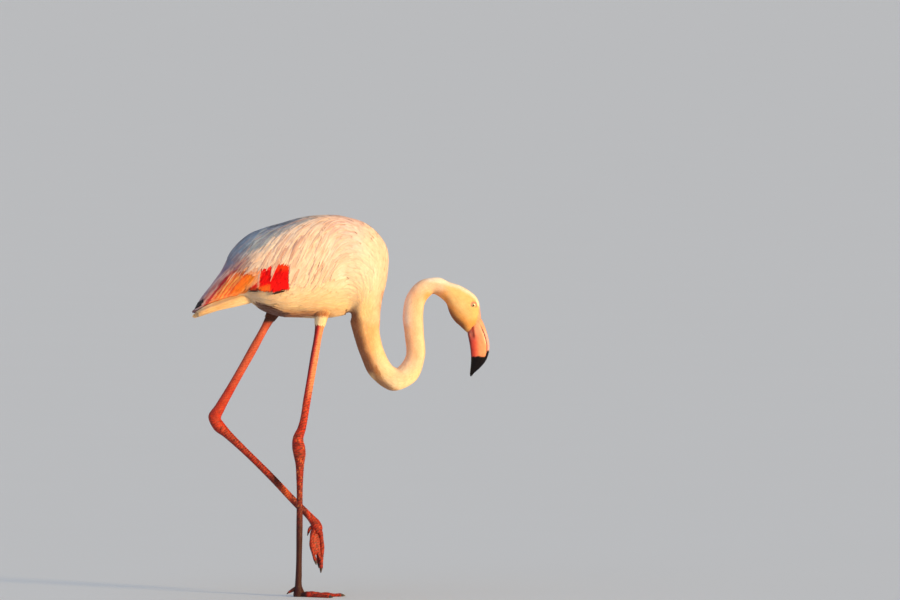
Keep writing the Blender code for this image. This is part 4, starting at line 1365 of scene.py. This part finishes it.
def spread(surface, start, end, layers, widths, lengths, seed):
    """Roots spaced over a stretch on a sunflower spiral, closer where the feathers are smaller."""
    local = np.random.default_rng(seed)
    edges = np.linspace(start, end, 400)
    row = surface.row(edges)
    girth = math.pi * (np.linalg.norm(row[:, 2:4] - row[:, 0:2], axis=1) / 2 + row[:, 4])
    demand = girth / (COAT_PACKING * widths(edges) * lengths(edges))
    total = np.concatenate([[0.0], np.cumsum((demand[1:] + demand[:-1]) / 2 * np.diff(edges))])
    count = int(layers * total[-1])
    ranks = (np.arange(count) + 0.5 + local.uniform(-0.5, 0.5, count)) / count * total[-1]
    along = np.interp(ranks, total, edges)
    stray = local.normal(0, 0.35, count) * widths(along) / 0.02
    turn = 2 * math.pi * (np.arange(count) * GOLDEN_TURN) + stray
    return along, turn % (2 * math.pi)


def walk(surface, along, turn, heading, lengths, rings):
    """Follows the lie of the plumage from each root, in equal steps laid into the surface.

    Each step is the heading's share of the surface's two directions, from their dot products.
    """
    path = [(along, turn)]
    stride = lengths / (rings - 1)
    for _ in range(rings - 1):
        here, by_along, by_turn, normal = surface.around(along, turn)
        way = heading(here, by_along, normal)
        way = unit(way - normal * np.sum(way * normal, axis=-1, keepdims=True))
        a, b, c = dot(by_along, by_along), dot(by_along, by_turn), dot(by_turn, by_turn)
        p, q = dot(way, by_along), dot(way, by_turn)
        size = np.maximum(a * c - b * b, 1e-12)
        along = along + np.clip((p * c - q * b) / size * stride, -stride * 2, stride * 2)
        turn = turn + np.clip((a * q - b * p) / size * stride, -0.6, 0.6)
        path.append((along, turn))
    return np.stack([p[0] for p in path], 1), np.stack([p[1] for p in path], 1)


def dot(first, second):
    """Dot product of each pair of vectors."""
    return np.sum(first * second, axis=-1)


def backward(here, by_along, normal):
    """Against the part's own direction."""
    return -unit(by_along)


def forward(here, by_along, normal):
    """The part's own direction."""
    return by_along


def lie_of_body(here, by_along, normal):
    """Along the neck toward the trunk, then rearward over the trunk and down over its flanks."""
    x, z = here[..., 0], here[..., 2]
    slope = 14 + 50 * step(0.575, 0.645, z)
    slope = slope + (44 - slope) * step(-0.050, -0.100, x) * step(0.60, 0.62, z)
    slope = np.radians(slope)
    rear = np.stack([-np.cos(slope), np.zeros_like(x), -np.sin(slope)], axis=-1)
    share = step(0.135, 0.050, x)[..., None] * step(0.50, 0.54, z)[..., None]
    return rear * share - unit(by_along) * (1 - share)


def turned(heading, angles):
    """The same lie with each feather swung a little to one side."""

    def swung(here, by_along, normal):
        way = unit(heading(here, by_along, normal))
        return way + np.cross(normal, way) * np.tan(angles)[:, None]

    return swung


def plume_tints(points, seed):
    """The coat's colours, with one plume in four of a pinker brown: painted shade between the
    strands.

    Over the back's painted shade these are grey, and one plume in five there is paler.
    """
    local = np.random.default_rng(seed)
    colour = coat_tints(points, seed, 0.06)
    count, rings = points.shape[:2]
    middle = points[:, rings // 2]
    x, z = middle[:, 0], middle[:, 2]
    # painted shade between the strands: one plume in four darker
    darker = (local.uniform(0, 1, (count, 1)) < 0.26) * local.uniform(0.30, 0.72, (count, 1))
    darker = darker * (0.15 + 0.85 * step(0.085, 0.040, middle[:, :1]))
    grey = step(0.0, 0.012, z - np.interp(x, *SHADE_LINE)) * step(0.04, 0.01, x)
    other = blend(np.broadcast_to(STRAND_SHADE_BROWN, (count, 3)), STRAND_SHADE_GREY, 0.85 * grey)[:, None]
    colour = blend(colour, other, darker * np.ones((count, rings)))
    lighter = (local.uniform(0, 1, (count, 1)) < 0.20) * 0.5 * grey[:, None]
    return blend(colour, STRAND_PALE, lighter * np.ones((count, rings)))


def coat_tints(points, seed, spread_of=0.03):
    """Markings at each feather's middle, with their painted light and shade, each a little lighter,
    darker or pinker than the next.
    """
    local = np.random.default_rng(seed)
    count, rings = points.shape[:2]
    place = points[:, int(rings * 0.6)]
    colour = markings_and_painted_light(place)[:, None, :] * np.ones((1, rings, 1))
    shade = 1 + local.normal(0, spread_of, (count, 1, 1))
    pinker = 1 - local.uniform(0, 1, (count, 1, 1)) * (1 - np.array([1.0, 0.93, 0.90]))
    colour = colour * np.clip(shade, 0.8, 1.08) * pinker
    share = np.linspace(0, 1, rings)[None, :, None]
    return np.clip(colour * (0.90 + 0.10 * share), 0, 1)


def even(size):
    """The same size all along."""
    return lambda along: size + 0 * along


def tapered(start, end, length):
    """A size that changes evenly over a length."""
    return lambda along: np.interp(along, [0, length], [start, end])


def table_of(values):
    """A size along the body, from (control row, size) pairs."""
    rows = np.array([body.at[row * DENSE] for row, _ in values])
    sizes = np.array([size for _, size in values])
    return lambda along: np.interp(along, rows, sizes)


# control row, length and width of the coat's feathers there
COAT = [
    (0, 0.024, 0.0075), (4, 0.034, 0.0105), (9, 0.036, 0.0110), (12, 0.030, 0.0095),
    (14, 0.024, 0.0075), (17, 0.014, 0.0050), (20, 0.0115, 0.0040), (28, 0.0098, 0.0034),
    (30, 0.0086, 0.0026), (32, 0.0070, 0.0020), (35, 0.0050, 0.0014),
]
# the same for the long plumes of the back
PLUMES = [
    (0, 0.030, 0.0060), (4, 0.055, 0.0066), (6, 0.070, 0.0070),
    (9, 0.080, 0.0075), (11, 0.065, 0.0070), (13, 0.040, 0.0065),
]
coat_length = table_of([(row, length) for row, length, _ in COAT])
coat_width = table_of([(row, width) for row, _, width in COAT])
plume_length = table_of([(row, length) for row, length, _ in PLUMES])
plume_width = table_of([(row, width) for row, _, width in PLUMES])


def feathers_on(
    surface, name, path, lift, widths, shape, look, seed, finish, thin=0.04, sway=0.05
):
    """Vanes along paths on a surface, from a root depth to a tip height, as one joined mesh.

    A normal that points down is flattened, so that the underside is shaded less darkly.
    """
    share = np.linspace(0, 1, path[0].shape[1])[None, :]
    spine = surface.point(path[0], path[1], lift)
    normals = surface.around(*path)[3]
    level = np.ones(spine.shape)
    level[..., 2] = np.where(normals[..., 2] < 0, 0.45, 1.0)
    half = widths[:, None] / 2 * profile(share, *shape)
    thick = thin * half[..., None] + 0.00004
    places = np.stack([path[0][:, 0], path[1][:, 0]], -1)
    tints = look(spine, seed)
    normals = unit(normals * level)
    made = feather_mesh(name, spine, normals, half, thick, tints, places, finish, sway)
    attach(made, "root")
    return made


def coat(
    name, surface, stretch, layers, rings, seed, widths, long, heading,
    keep=None, shape=(0.5, 2.2), rise=0.0, finish=None, look=coat_tints,
):
    """Feathers over a stretch of a part, each cut short where it would run over the folded wing."""
    local = np.random.default_rng(seed)
    along, turn = spread(surface, *stretch, layers, widths, long, seed)
    if keep is not None:
        kept = keep(surface.point(along, turn))
        along, turn = along[kept], turn[kept]
    count = len(along)
    lengths = long(along) * local.uniform(0.85, 1.15, count)
    way = turned(heading, local.normal(0, 0.07, count))
    path = walk(surface, along, turn, way, lengths, REACH_STEPS + 1)
    inside = wing_window(surface.point(*path))
    crossing = inside.any(axis=1)
    reach = np.where(crossing, inside.argmax(axis=1) / REACH_STEPS, 1.0)
    reach = reach + local.normal(0, 0.02, count)
    root = surface.point(along, turn)
    over = crossing & (root[..., 0] < -0.055) & (root[..., 2] > 0.64)
    reach = reach + over * local.uniform(0.0, 0.38, count)
    path = walk(surface, along, turn, way, lengths * np.clip(reach, 0.15, 1.0), rings)
    share = np.linspace(0, 1, rings)[None, :]
    lay = share**0.8 * (1 - 0.10 * local.uniform(0, 1, (count, 1)))
    under = np.minimum(surface.coat(path[0]), COAT_MOST) * (0.90 - 0.88 * lay)
    lift = rise - under - wing_ledge(surface.point(*path))
    finish = finish or down_feathers
    feathers_on(surface, name, path, lift, widths(along), shape, look, seed + 1, finish)


def body_coat(name, first, last, layers, rings, seed, keep):
    """The coat over the body from one control row to another."""
    stretch = body.at[int(first * DENSE)], body.at[int(last * DENSE)]
    coat(name, body, stretch, layers, rings, seed, coat_width, coat_length, lie_of_body, keep)


def clear_of_wing(points):
    """True off the wing's own rows."""
    return ~wing_window(points)


def wing_bed(points):
    """How much deeper the skin lies under the wing's own rows."""
    x, z = points[..., 0], points[..., 2]
    low, top = wing_low(x), wing_top(x)
    return 0.0035 * step(-0.010, -0.030, x) * between(z, low - 0.002, low + 0.006, top, top + 0.014)


def wing_window(points):
    """True where the wing's own rows show, and the body's plumage stops."""
    x, y, z = (points[..., k] for k in range(3))
    open_to = (x < -0.0160 + 0.02 * (z - 0.61)) & (z > wing_low(x)) & (z < wing_top(x))
    return open_to & ((np.abs(y) > 0.014) | (x < -0.128))


def wing_ledge(points):
    """How far the coat sinks just under the folded wing, which stands proud of the belly there."""
    x, z = points[..., 0], points[..., 2]
    edge = wing_low(x)
    ledge = between(z, edge - 0.040, edge - 0.002, edge, edge + 0.010)
    return 0.0050 * ledge * step(-0.005, -0.03, x)


def clear_of_face(points):
    """True off the bare face."""
    return bare_face(points) < 0.5


def laid(x, z, side):
    """Distance along the body and turn round it, of the place on a flank at x and height z."""
    upright = len(TRUNK) * DENSE + 1
    along = np.interp(x, body.rows[:upright, 0], body.at[:upright])
    row = body.row(along)
    middle, arm = (row[..., 1] + row[..., 3]) / 2, (row[..., 3] - row[..., 1]) / 2
    up = np.clip((z - middle) / arm, -0.999, 0.999)
    angle = np.arccos(np.sign(up) * np.abs(up) ** (body.power / 2))
    return along, np.where(side > 0, angle, 2 * math.pi - angle)


def laid_feathers(
    name, side, roots, tips, bow, width, lift, shape, rings, look,
    finish=long_feathers,
):
    """Feathers laid on a flank from root to tip, x and height of each given, bowed out by `bow`.

    Each root is tucked a little deeper than its tip. `look` gives the colours along each spine.
    """
    share = np.linspace(0, 1, rings)[None, :]
    chord = tips - roots
    lean = np.stack([-chord[:, 1], chord[:, 0]], axis=1)
    bend = (4 * bow * share * (1 - share))[..., None]
    flat = roots[:, None] + chord[:, None] * share[..., None] + lean[:, None] * bend
    path = laid(flat[..., 0], flat[..., 1], side)
    tucked = np.asarray(lift)[:, None] - 0.0018 * (1 - share) ** 1.5
    feathers_on(body, name, path, tucked, width, shape, look, 0, finish, 0.03, 0.10)


def up_and_forward(slope, length):
    """From a tip to its root: so far along a slope that rises toward the front."""
    return np.stack([np.cos(slope), np.sin(slope)], axis=1) * length


def dyed_and_shaded(local, spread_of):
    """The wing's dye along each spine, with the markings' painted light and shade, each feather a
    little lighter or darker.
    """

    def look(spine, seed):
        shade = 1 + local.normal(0, spread_of, (len(spine), 1, 1))
        return np.clip(markings_and_painted_light(spine) * shade, 0, 1)

    return look


def streaked(local):
    """Pale peach, with one plume in three of a pinker brown: painted shade between the strands."""

    def look(spine, seed):
        darker = (local.uniform(0, 1, (len(spine), 1)) < 0.35) * 0.6 * np.ones(spine.shape[:2])
        return blend(np.broadcast_to(STRAND_PALE, spine.shape), STRAND_SHADE_BROWN, darker)

    return look


def plain(colour):
    """One colour throughout."""
    return lambda spine, seed: np.broadcast_to(colour, spine.shape)


# x and height of the root and of the tip, width and lift of each dark strip of painted shade in the
# wing's lower gap
GAP_SHADE_STRIPS = [
    (-0.0255, 0.6140, -0.0515, 0.6080, 0.0034, 0.0004),
    (-0.0790, 0.6125, -0.0990, 0.6130, 0.0030, 0.0004),
    (-0.0270, 0.6128, -0.0480, 0.6076, 0.0030, 0.0003),
]
# x and height of the root and of the tip of each loose plume over the hinder part
LOOSE_PLUMES = [
    (-0.062, 0.690, -0.0775, 0.6220),
    (-0.060, 0.690, -0.0790, 0.6350),
    (-0.090, 0.676, -0.1180, 0.6420),
    (-0.108, 0.670, -0.1560, 0.6340),
    (-0.112, 0.668, -0.1640, 0.6260),
    (-0.118, 0.668, -0.1740, 0.6180),
    (-0.124, 0.664, -0.1800, 0.6120),
    (-0.104, 0.668, -0.1400, 0.6280),
]


def wing_feathers(label, side):
    """The folded wing, from the longest and lowest feathers to the rows that overlap them."""
    local = np.random.default_rng(20 + side)
    # Primaries, of which only the dark ends show past the rest.
    count = 6
    share = np.linspace(0, 1, count)[:, None]
    roots = np.array([-0.184, 0.592]) + share * [0.002, 0.012]
    tips = np.array([-0.2118, 0.5755]) * (1 - share) + np.array([-0.2060, 0.5860]) * share
    lift = np.linspace(-0.0016, -0.0004, count)
    laid_feathers(
        "primaries_" + label, side, roots, tips, 0.04, np.full(count, 0.0034), lift,
        (0.35, 2.4), 10, plain(PRIMARY_BLACK),
    )
    # Secondaries and tertials: long narrow strands from the rump to the wing's tip.
    count = 340
    x = np.sort(-0.204 + 0.120 * local.uniform(0, 1, count))
    upright = body.rows[: len(TRUNK) * DENSE]
    high = np.interp(x, upright[:, 0], upright[:, 3])
    level = local.uniform(0, 0.90, count)
    level[::4] *= 0.12
    z = wing_low(x) + 0.0008 + level * (high - wing_low(x) - 0.002)
    slope = np.radians(46 - 6 * level + local.normal(0, 1.5, count))
    tips = np.stack([x, z], 1)
    roots = tips + up_and_forward(slope, local.uniform(0.045, 0.090, (count, 1)))
    width = local.uniform(0.0040, 0.0066, count)
    lift = np.linspace(-0.0026, -0.0008, count) + 0.0017 * step(0.30, 0.80, level)
    laid_feathers(
        "tertials_" + label, side, roots, tips, -0.05, width, lift,
        (0.45, 1.9), 12, dyed_and_shaded(local, 0.07),
    )
    # Coverts: crimson in front, orange behind them, their ends over the open part of the wing.
    count = 300
    x = np.sort(local.uniform(-0.116, -0.0180, count))
    deep = wing_top(x) + 0.006 - wing_low(x)
    tips = np.stack([x, wing_low(x) + 0.0012 + local.uniform(0, 1, count) ** 1.2 * deep], 1)
    slope = np.radians(local.normal(56, 3, count))
    roots = tips + up_and_forward(slope, local.uniform(0.022, 0.034, (count, 1)))
    width = local.uniform(0.0052, 0.0072, count)
    lift = np.linspace(-0.0014, -0.0005, count)
    laid_feathers(
        "coverts_" + label, side, roots, tips, -0.03, width, lift,
        (0.55, 2.4), 7, dyed_and_shaded(local, 0.05), finish=bright_feathers,
    )
    # A wedge of pale plumes that falls across the wing between its two crimson patches.
    count = 22
    share = np.sort(local.uniform(0, 1, count))[:, None]
    tips = np.array([-0.0515, 0.6640]) * (1 - share) + np.array([-0.0538, 0.6330]) * share
    tips = tips + local.normal(0, 0.0005, tips.shape)
    slope = np.radians(local.normal(65, 1.5, (count, 1)))[:, 0]
    roots = tips + up_and_forward(slope, 0.040 + 0.050 * share)
    width = local.uniform(0.0026, 0.0038, count)
    laid_feathers(
        "wedge_" + label, side, roots, tips, -0.02, width, np.linspace(0.0, 0.0008, count),
        (0.45, 1.3), 10, streaked(local), plume_feathers,
    )
    # Dark strips of painted shade in the gap beneath the wing's lower edge.
    lines = np.array(GAP_SHADE_STRIPS)
    laid_feathers(
        "gap_shade_strips_" + label, side, lines[:, :2], lines[:, 2:4], -0.06, lines[:, 4], lines[:, 5],
        (0.5, 1.5), 9, plain(GAP_SHADE_BROWN), down_feathers,
    )
    # Single pale plumes over the hinder part.
    lines = np.array(LOOSE_PLUMES)
    width = local.uniform(0.0024, 0.0036, len(lines))
    lift = local.uniform(-0.0006, 0.0002, len(lines))
    laid_feathers(
        "strands_" + label, side, lines[:, :2], lines[:, 2:], -0.06, width, lift,
        (0.4, 1.3), 12, plain(STRAND_PALE), down_feathers,
    )


def on_upper_back(points):
    """Roots of the long plumes: on the back and shoulders, high on the flanks."""
def on_upper_back(points):
    """Roots of the long plumes: on the back and shoulders, high on the flanks."""
    x, z = points[..., 0], points[..., 2]
    high = z > 0.680 - 0.10 * np.maximum(x, -0.04)
    return high & (x < 0.125) & clear_of_wing(points) & (x > -0.118)


def back_plumes(name, layers, seed):
    """Long pointed plumes over the back, which fall over the top of the wing."""
    stretch = body.at[int(2.5 * DENSE)], body.at[13 * DENSE]
    coat(
        name, body, stretch, layers, 9, seed, plume_width, plume_length, lie_of_body,
        on_upper_back, (0.32, 1.5), 0.0008, plume_feathers, plume_tints,
    )


def rump_feathers():
    """Feathers over the rump, between the folded wings and tucked under the back's plumes.

    Each rises evenly from its root to its tip, and is cut short before the wings' tips.
    """
    local = np.random.default_rng(64)
    stretch = body.at[2], body.at[7 * DENSE]
    along, turn = spread(body, *stretch, 8.5, even(0.0072), even(0.030), 66)
    root = body.point(along, turn)
    kept = (root[:, 0] < -0.100) & (root[:, 0] > -0.192)
    kept = kept & (root[:, 2] > wing_low(root[:, 0]) + 0.004)
    along, turn, root = along[kept], turn[kept], root[kept]
    count = len(along)
    lengths = np.minimum(local.uniform(0.024, 0.036, count), 1.3 * (root[:, 0] + 0.2075))
    way = turned(lie_of_body, local.normal(0, 0.08, count))
    path = walk(body, along, turn, way, lengths, 8)
    share = np.linspace(0, 1, 8)[None, :]
    lift = -0.0048 + 0.0026 * share**0.8 + local.uniform(-0.0002, 0.0002, (count, 1))
    dye = dyed_and_shaded(local, 0.07)

    def look(spine, seed):
        middle = step(0.024, 0.014, np.abs(spine[..., 1]))
        return blend(dye(spine, seed), RUMP_PINK, 0.62 * middle)

    feathers_on(
        body, "rump_feathers", path, lift, local.uniform(0.0062, 0.0082, count), (0.5, 2.0),
        look, 65, down_feathers,
    )


def tail_feathers():
    """Pale coverts round the tail, with its long quills fanned over them."""
    coat(
        "tail_coverts", tail, (0.012, tail.length), 5.0, 7, 61,
        tapered(0.008, 0.011, tail.length), tapered(0.024, 0.050, tail.length), backward,
    )
    count = 14
    turn = np.linspace(-1.25, 1.25, count) % (2 * math.pi)
    share = np.linspace(0, 1, 9)[None, :]
    start = tail.length * np.linspace(0.74, 0.86, count)[:, None]
    fan = np.abs(np.linspace(-1, 1, count))[:, None] ** 2
    along = start * (1 - share) + 0.0025 * share + 0.006 * fan * share
    lift = np.linspace(0.0002, 0.0008, count)[:, None] - 0.002 * (1 - share)
    feathers_on(
        tail, "tail_quills", (along, turn[:, None] + 0 * share), lift, np.full(count, 0.012),
        (0.55, 3.0), coat_tints, 62, down_feathers,
    )


def thigh_feathers(label, surface):
    """Short feathers down the thigh, as far as the bare shank."""
    end = surface.at[3 * DENSE] - 0.004
    coat(
        "thigh_feathers_" + label, surface, (0.004, end - 0.004), 6.0, 5, 70,
        tapered(0.0055, 0.0036, end), tapered(0.018, 0.010, end), forward, None, (0.5, 2.0), 0.0014,
    )


# ----------------------------------------------------------------------------------------- assembly
skin = make_skin()
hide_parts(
    "trunk", "head", "wing_right", "wing_left", "tail", *["neck_%d" % k for k in range(1, 7)]
)
for side in ("right", "left"):
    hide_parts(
        *["%s_%s" % (length, side) for length in ("thigh", "shank", "tarsus", "foot")]
    )
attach(skin, "root")

for name, side in (("bill_lower", -1), ("bill_upper", 1)):
    half_bill = make_bill_half("horn_" + name, side)
    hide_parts(name)
    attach(half_bill, "root")

for name, side in (("eye_right", -1), ("eye_left", 1)):
    ball = make_eye("ball_" + name, side)
    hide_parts(name)
    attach(ball, "root")

for side in ("right", "left"):
    make_claws(side)

# name, first and last control row, layers, rings to a vane, seed, and where roots are kept
for name, first, last, layers, rings, seed, keep in (
    ("coat_rump", 0.3, 6, 5.0, 5, 101, clear_of_wing),
    ("coat_back", 6, 11, 5.5, 5, 102, clear_of_wing),
    ("coat_shoulders", 11, 17, 5.5, 5, 103, clear_of_wing),
    ("coat_neck_base", 17, 22, 4.5, 4, 104, None),
    ("coat_neck_middle", 22, 26, 4.5, 4, 105, None),
    ("coat_neck_top", 26, 29, 4.5, 4, 106, None),
    ("coat_head", 29, 35, 5.3, 4, 107, clear_of_face),
):
    body_coat(name, first, last, layers, rings, seed, keep)
back_plumes("plumes_of_back", 2.6, 108)
rump_feathers()
tail_feathers()
thigh_feathers("right", leg_right)
thigh_feathers("left", leg_left)
for label, side in (("right", -1), ("left", 1)):
    wing_feathers(label, side)

# -------------------------------------------------------------------------- floor, light and camera
FLOOR_HEIGHT = -0.0003
floor_turns = turns_round(96)
floor_rings = np.array([0.002, 2.0, 20.0, 120.0, 400.0])[:, None]
disc = [floor_rings * np.cos(floor_turns), floor_rings * np.sin(floor_turns)]
disc = np.stack([*disc, np.full(disc[0].shape, FLOOR_HEIGHT)], axis=-1)
floor = mesh_object("floor", disc, grid_faces(*disc.shape[:2]), floor_paint)

world = bpy.data.worlds.new("pale_sky")
bpy.context.scene.world = world
world.use_nodes = True
sky = world.node_tree.nodes["Background"]
sky.inputs["Color"].default_value = (1.0, 0.86, 0.76, 1.0)
sky.inputs["Strength"].default_value = 0.20


def place_in_scene(name, data):
    """An object for a light or a camera."""
    made = bpy.data.objects.new(name, data)
    bpy.context.scene.collection.objects.link(made)
    return made


def turned_back_along(toward):
    """The turn of a light or camera that looks back from a direction."""
    return toward.to_track_quat("Z", "Y").to_euler()


# name, degrees from the bird's right side toward its head, degrees up, strength, width in
# degrees, colour
LIGHTS = [
    ("warm_key", 50, 9, 5.0, 10, (1.0, 0.74, 0.34)),
    ("cool_top", -60, 62, 1.60, 100, (0.44, 0.68, 1.0)),
]
for name, degrees, height, power, width, colour in LIGHTS:
    light = bpy.data.lights.new(name, "SUN")
    light.energy = power
    light.angle = math.radians(width)
    light.color = colour
    turn, rise = math.radians(degrees), math.radians(height)
    toward = (math.sin(turn) * math.cos(rise), -math.cos(turn) * math.cos(rise), math.sin(rise))
    place_in_scene(name, light).rotation_euler = turned_back_along(Vector(toward))

CAMERA_AIM = Vector((0.304, 0.0, 0.594))
CAMERA_RISE = math.radians(2.2)
CAMERA_DISTANCE = 24.0
lens = bpy.data.cameras.new("camera")
lens.sensor_width = 36.0
lens.lens = 480.0
lens.clip_end = 2000.0
camera = place_in_scene("camera", lens)
away = Vector((0.0, -math.cos(CAMERA_RISE), math.sin(CAMERA_RISE)))
camera.location = CAMERA_AIM + CAMERA_DISTANCE * away
camera.rotation_euler = turned_back_along(away)
bpy.context.scene.camera = camera
bpy.context.scene.view_settings.view_transform = "Standard"
